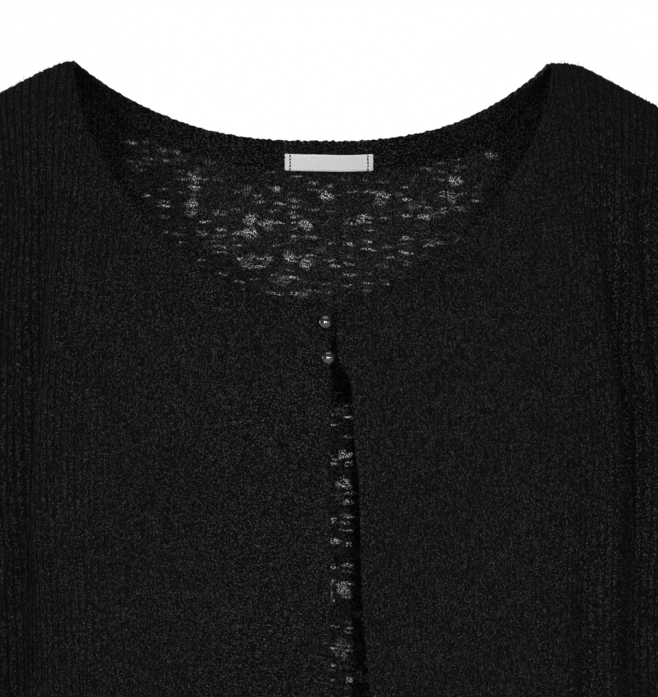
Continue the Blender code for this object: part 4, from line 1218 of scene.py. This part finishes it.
def make_fuzz(pieces, material):
    """Short loose fibres on the cloth's faces, closer together by the neck and shoulders."""
    rng = np.random.default_rng(FUZZ_SEED)
    stores = {"center": [], "normal": [], "area": []}
    for piece in pieces:
        for kind, store in stores.items():
            values = np.empty(len(piece.data.polygons) * (1 if kind == "area" else 3), np.float32)
            piece.data.polygons.foreach_get(kind, values)
            store.append(values)
    places, normals, weights = (np.concatenate(store).astype(float) for store in stores.values())
    places = places.reshape(-1, 3)
    weights *= np.where(places[:, 2] > FUZZ_EDGE_HEIGHT, FUZZ_EDGE_SHARE, 1.0)
    chosen = rng.choice(len(places), FUZZ_COUNT, p=weights / weights.sum())
    normal = normals.reshape(-1, 3)[chosen]
    aside = rng.normal(size=(FUZZ_COUNT, 3))
    aside -= (aside * normal).sum(axis=1, keepdims=True) * normal
    aside /= np.linalg.norm(aside, axis=1, keepdims=True)
    length = rng.uniform(*FUZZ_LENGTHS, size=(FUZZ_COUNT, 1))
    rise = length * rng.uniform(*FUZZ_RISE, size=(FUZZ_COUNT, 1))
    start = places[chosen] - normal * FUZZ_SINK
    middle = start + aside * length * FUZZ_MIDDLE + normal * rise
    end = start + aside * length + normal * rise * rng.uniform(*FUZZ_END_RISE, size=(FUZZ_COUNT, 1))
    turns = 2 * math.pi * np.arange(3)[:, None] / 3
    ring = FUZZ_RADIUS * (np.cos(turns) * np.cross(normal, aside)[:, None] + np.sin(turns) * normal[:, None])
    near = (start * 0.6 + middle * 0.4)[:, None] + ring
    far = (middle * 0.5 + end * 0.5)[:, None] + ring * 0.8
    return rods("loose_fibres", start, (near, far), end, material)


class Shade:
    """A node tree, with short ways to add nodes to it."""

    def __init__(self, tree):
        self.tree = tree

    def fill(self, item, inputs):
        """Inputs set to values or linked to sockets."""
        for key, value in inputs.items():
            if isinstance(value, bpy.types.NodeSocket):
                self.tree.links.new(value, item.inputs[key])
            else:
                item.inputs[key].default_value = value

    def node(self, kind, inputs=None, **settings):
        item = self.tree.nodes.new("ShaderNode" + kind)
        for key, value in settings.items():
            setattr(item, key, value)
        self.fill(item, inputs or {})
        return item

    def math(self, operation, first, second=0.0, third=0.0):
        return self.node("Math", {0: first, 1: second, 2: third}, operation=operation).outputs[0]

    def times(self, first, *others):
        for other in others:
            first = self.math("MULTIPLY", first, other)
        return first

    def ramp(self, value, low, high, out_low=0.0, out_high=1.0):
        """value taken from low..high to out_low..out_high, smoothly and clamped."""
        inputs = {"Value": value, "From Min": low, "From Max": high, "To Min": out_low, "To Max": out_high}
        return self.node("MapRange", inputs, interpolation_type="SMOOTHSTEP").outputs["Result"]

    def parts(self, vector):
        return self.node("SeparateXYZ", {"Vector": vector}).outputs

    def own_place(self):
        return self.node("TexCoord").outputs["Object"]

    def cloth_place(self):
        return self.parts(self.node("UVMap", uv_map="cloth").outputs["UV"])[:2]

    def at_scale(self, place, wide, high, shift=0.0):
        """A texture position with cells of a width and height given in rib pitches."""
        x = self.math("MULTIPLY_ADD", place[0], 1.0 / wide, shift)
        y = self.math("MULTIPLY_ADD", place[1], 1.0 / high, shift * 1.7)
        return self.node("CombineXYZ", {"X": x, "Y": y, "Z": shift}).outputs[0]

    def noise(self, position, scale=1.0, detail=1.0):
        return self.node("TexNoise", {"Vector": position, "Scale": scale, "Detail": detail}).outputs[0]

    def cells(self, position, dimensions="3D"):
        """Distance from the middle of each cell, and a chance value of its own."""
        inputs = {"Vector": position, "Scale": 1.0, "Randomness": 1.0}
        outputs = self.node("TexVoronoi", inputs, voronoi_dimensions=dimensions).outputs
        return outputs["Distance"], self.node("SeparateColor", {"Color": outputs["Color"]}).outputs[0]

    def mix(self, factor, first, second):
        inputs = {"Factor": factor, 6: (*first, 1.0), 7: (*second, 1.0)}
        return self.node("Mix", inputs, data_type="RGBA").outputs[2]

    def bump(self, height, strength, distance):
        return self.node("Bump", {"Strength": strength, "Distance": distance, "Height": height}).outputs[0]


def new_material(name):
    material = bpy.data.materials.new(name)
    material.use_nodes = True
    return material, Shade(material.node_tree), material.node_tree.nodes["Principled BSDF"]


def knit_places(shade):
    """The cloth's across and down coordinates in rib pitches, a little uneven, as yarn is."""
    across, down = shade.cloth_place()
    drift = shade.noise(shade.at_scale((across, down), 0.9, 1.3, 3.1))
    across = shade.math("MULTIPLY_ADD", drift, YARN_DRIFT, across)
    lift = shade.noise(shade.at_scale((across, down), 0.7, 0.9, 8.3))
    return across, shade.math("MULTIPLY_ADD", lift, YARN_DRIFT, down)


def stitch_height(shade, across, down):
    """Slanting loops in each wale, two wales to a rib."""
    wale = shade.math("SUBTRACT", shade.math("FRACT", shade.times(across, 2.0)), 0.5)
    course = shade.times(down, RIB_PITCH / STITCH_COURSE)
    phase = shade.math("MULTIPLY_ADD", shade.math("ABSOLUTE", wale), 1.3, course)
    loop = shade.math("SINE", shade.times(phase, 2 * math.pi))
    rounded = shade.math("COSINE", shade.times(wale, math.pi))
    return shade.times(shade.math("MULTIPLY_ADD", loop, 0.5, 0.5), rounded)


def groove_shade(shade, across):
    """Painted shade between two ribs, faint in the middle of the garment and darker towards its sides."""
    groove = shade.ramp(shade.math("COSINE", shade.times(across, 2 * math.pi)), 0.2, 1.0)
    reach = shade.ramp(shade.math("ABSOLUTE", across), *GROOVE_REACH, *GROOVE_PAINTED_SHADE)
    return shade.math("SUBTRACT", 1.0, shade.times(groove, reach))


def spot_cells(shade, place, cell, offset, chance):
    """Separate soft spots, each as thin as its own chance value makes it."""
    sway = shade.noise(shade.at_scale(place, *SPOT_SWAY_CELL, offset + 4.0))
    swayed = [shade.math("MULTIPLY_ADD", sway, amount, value) for amount, value in zip(SPOT_SWAY, place)]
    distance, value = shade.cells(shade.at_scale(swayed, *cell, offset), "2D")
    return shade.times(shade.ramp(distance, *SPOT_BODY, 1.0, 0.0), shade.ramp(value, *chance))


def spot_region(shade):
    """0 by the neck's band and sides and behind the buttons, where the cloth is double, and 1 elsewhere."""
    x, _, z = shade.parts(shade.own_place())
    under = shade.math("SUBTRACT", shade.math("ADD", shade.times(x, x, DOUBLE_CURVE), DOUBLE_HEIGHT), z)
    aside, away = (
        shade.times(shade.math("SUBTRACT", value, middle), 1.0 / radius)
        for value, middle, radius in zip((x, z), THIN_MIDDLE, THIN_RADII)
    )
    from_middle = shade.math("MULTIPLY_ADD", aside, aside, shade.times(away, away))
    inside = shade.ramp(from_middle, *THIN_ROUND_END, 1.0, 0.0)
    lower = shade.ramp(shade.math("SUBTRACT", 0.0, z), *THIN_LOWER_START)
    lower = shade.times(lower, shade.ramp(x, *THIN_STRIP, 1.0, THIN_STRIP_LEFT))
    return shade.times(shade.ramp(under, 0.0, DOUBLE_FADE), shade.math("MAXIMUM", inside, lower))


def spot_alpha(shade, place):
    """1 in whole cloth, less in the small dots of the thin spots, which lie in short rows."""
    rows = shade.math("COSINE", shade.times(place[1], 2 * math.pi * RIB_PITCH / SPOT_ROW))
    thin = shade.math("MAXIMUM", *[spot_cells(shade, place, *kind) for kind in SPOT_KINDS])
    thin = shade.times(thin, shade.ramp(rows, -1.0, 1.0, 0.75, 1.0))
    thin = shade.times(shade.math("MAXIMUM", thin, THIN_LEAST), spot_region(shade))
    distance, _ = shade.cells(shade.at_scale(place, *HOLE_CELL, 2.2))
    dot = shade.ramp(distance, *HOLE_SIZES, HOLE_OPEN, HOLE_LEAST)
    return shade.math("SUBTRACT", 1.0, shade.times(dot, thin))


def knit_material(name, painted_light_factor, thin_spots):
    """Black slub knit: loops, speckled yarn, painted shade in the grooves, and thin spots if it is to have
    them; a factor over 1 paints the whole knit lighter, as painted light.
    """
    material, shade, shader = new_material(name)
    place = knit_places(shade)
    loops = stitch_height(shade, *place)
    _, speckle = shade.cells(shade.at_scale(place, *SPECKLE_CELL))
    light = shade.math("MULTIPLY_ADD", loops, LOOP_LIGHT, shade.math("POWER", speckle, SPECKLE_POWER))
    for wide, high, offset, change in SHADE_PATCHES:
        patches = shade.noise(shade.at_scale(place, wide, high, offset))
        light = shade.times(light, shade.ramp(patches, 0.25, 0.75, 1.0 - change, 1.0 + change))
    # painted shade in the grooves, stronger towards the sides
    light = shade.times(light, groove_shade(shade, place[0]))
    inputs = {
        # painted light: a factor over 1 makes a lighter-painted copy of the knit
        "Base Color": shade.mix(light, KNIT_DARK, [value * painted_light_factor for value in KNIT_LIGHT]),
        "Roughness": shade.ramp(speckle, 0.2, 0.8, 0.95, 0.80),
        "Specular IOR Level": KNIT_SPECULAR,
        "Normal": shade.bump(shade.math("MULTIPLY_ADD", speckle, 0.9, loops), 0.8, 0.0005),
    }
    if thin_spots:
        inputs["Alpha"] = spot_alpha(shade, place)
    shade.fill(shader, inputs)
    return material


def label_material(name):
    """Fine plain weave."""
    material, shade, shader = new_material(name)
    place = shade.cloth_place()
    weave = shade.times(*[shade.math("SINE", shade.times(value, LABEL_THREADS)) for value in place])
    weave = shade.math("MULTIPLY_ADD", weave, 0.5, 0.5)
    uneven = shade.noise(shade.at_scale(place, 0.8, 0.5, 4.4), detail=3.0)
    level = shade.math("MULTIPLY_ADD", uneven, 0.5, shade.times(weave, 0.5))
    inputs = {
        "Base Color": shade.mix(level, LABEL_SHADE, LABEL_WHITE),
        "Roughness": 0.55,
        "Sheen Weight": 0.1,
        "Normal": shade.bump(level, 0.35, 0.0002),
    }
    shade.fill(shader, inputs)
    return material


def thread_material(name, colour):
    """Twisted sewing thread, cord or loose fibre."""
    material, shade, shader = new_material(name)
    fibres = shade.noise(shade.own_place(), 4000.0, 2.0)
    inputs = {
        "Base Color": shade.mix(shade.ramp(fibres, 0.3, 0.7), colour, [value * 2.2 for value in colour]),
        "Roughness": 0.90,
        "Specular IOR Level": 0.10,
        "Normal": shade.bump(fibres, 0.5, 0.0001),
    }
    shade.fill(shader, inputs)
    return material


def gloss_material(name):
    """Polished black plastic with faint scuffs."""
    material, shade, shader = new_material(name)
    scuffs = shade.noise(shade.own_place(), 900.0, 4.0)
    inputs = {
        "Base Color": shade.mix(scuffs, GLOSS_BLACK, [value * 1.5 for value in GLOSS_BLACK]),
        "Roughness": shade.ramp(scuffs, 0.35, 0.75, 0.16, 0.24),
        "IOR": 1.90,
        "Coat Weight": 1.0,
        "Coat Roughness": 0.05,
    }
    shade.fill(shader, inputs)
    return material


def make_camera():
    data = bpy.data.cameras.new("camera")
    data.sensor_fit = "HORIZONTAL"
    data.sensor_width = SENSOR_WIDTH_MM
    data.lens = FOCAL_PIXELS / IMAGE_WIDTH * SENSOR_WIDTH_MM
    item = place_object("camera", data)
    item.location = (0.0, -CAMERA_DISTANCE, CAMERA_HEIGHT)
    item.rotation_euler = (math.radians(90), 0.0, 0.0)
    bpy.context.scene.camera = item


def make_light(name, kind, place, target, **settings):
    data = bpy.data.lights.new(name, kind)
    for key, value in settings.items():
        setattr(data, key, value)
    item = place_object(name, data)
    item.location = place
    item.rotation_euler = (Vector(target) - Vector(place)).to_track_quat("-Z", "Y").to_euler()


def make_lights():
    for name, place, wide, high, power in SOFTBOXES:
        make_light(name, "AREA", place, LIGHT_TARGET, shape="RECTANGLE", size=wide, size_y=high, energy=power)
    beam = {"spot_size": math.radians(MIDDLE_ANGLE), "spot_blend": 1.0, "shadow_soft_size": MIDDLE_RADIUS}
    make_light("middle_lamp", "SPOT", MIDDLE_LAMP, MIDDLE_TARGET, energy=MIDDLE_POWER, **beam)


def make_surroundings():
    """A white backdrop all round that lights the garment more softly than it looks."""
    world = bpy.data.worlds.new("studio")
    world.use_nodes = True
    world.node_tree.nodes.clear()
    shade = Shade(world.node_tree)
    white = (1.0, 1.0, 1.0, 1.0)
    lighting, seen = (
        shade.node("Background", {"Color": white, "Strength": strength}).outputs[0]
        for strength in (SURROUND, BACKGROUND)
    )
    camera_ray = shade.node("LightPath").outputs["Is Camera Ray"]
    choice = shade.node("MixShader", {0: camera_ray, 1: lighting, 2: seen}).outputs[0]
    shade.node("OutputWorld", {"Surface": choice})
    bpy.context.scene.world = world
    bpy.context.scene.view_settings.view_transform = "Standard"


def make_floor():
    """A round pale floor under the garment."""
    work = bmesh.new()
    bmesh.ops.create_circle(work, cap_ends=True, segments=FLOOR_SIDES, radius=FLOOR_RADIUS)
    bmesh.ops.translate(work, vec=(0.0, 0.0, FLOOR_HEIGHT), verts=work.verts)
    mesh = bpy.data.meshes.new("floor")
    work.to_mesh(mesh)
    work.free()
    material, shade, shader = new_material("pale_floor")
    shade.fill(shader, {"Base Color": FLOOR_COLOUR, "Roughness": 0.8})
    mesh.materials.append(material)
    place_object("floor", mesh)


def dress(item, name):
    """Hides the frame's solid that a piece stands for."""
    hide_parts(name)


def dress_body(knit, thin_knit):
    """The five cloth panels, each on its own solid's form."""
    sides = ((-1, "_right"), (1, "_left"))
    fronts = {"front" + end: make_front(side, "front" + end + "_cloth", knit) for side, end in sides}
    back = {"back": make_back("back_cloth", thin_knit)}
    sleeves = {"sleeve" + end: make_sleeve(side, "sleeve" + end + "_cloth", knit) for side, end in sides}
    pieces = {**fronts, **sleeves, **back}
    for name, item in pieces.items():
        dress(item, name)
    return list(pieces.values())


def dress_trim(knit):
    dress(make_neck_band(knit), "neck_band")
    label = make_label(label_material("white_weave"))
    dress(label, "label")
    black = thread_material("black_thread", BLACK_THREAD)
    for item in (band_stitches(black), hem_stitches(black)):
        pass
    label_stitches(thread_material("grey_thread", THREAD_GREY))
    gloss = gloss_material("black_gloss")
    for which, x, height in BUTTONS:
        dress(make_button(which, x, height, gloss), "button_" + which)
        dress(make_loop(which, x, height, black), "loop_" + which)


def main():
    for item in list(bpy.data.objects):
        bpy.data.objects.remove(item, do_unlink=True)
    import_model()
    knit = knit_material("black_slub_knit", 1.0, False)
    # the back's knit is a copy painted lighter, standing in for light inside the garment
    cloth = dress_body(knit, knit_material("black_slub_knit_thin", INSIDE_PAINTED_LIGHT, True))
    make_fuzz(cloth, thread_material("loose_fibre", FIBRE_GREY))
    # the neck band's knit is a copy painted lighter, standing in for light inside the garment
    dress_trim(knit_material("black_slub_knit_painted_lighter", INSIDE_PAINTED_LIGHT, False))
    make_floor()
    make_surroundings()
    make_lights()
    make_camera()


main()
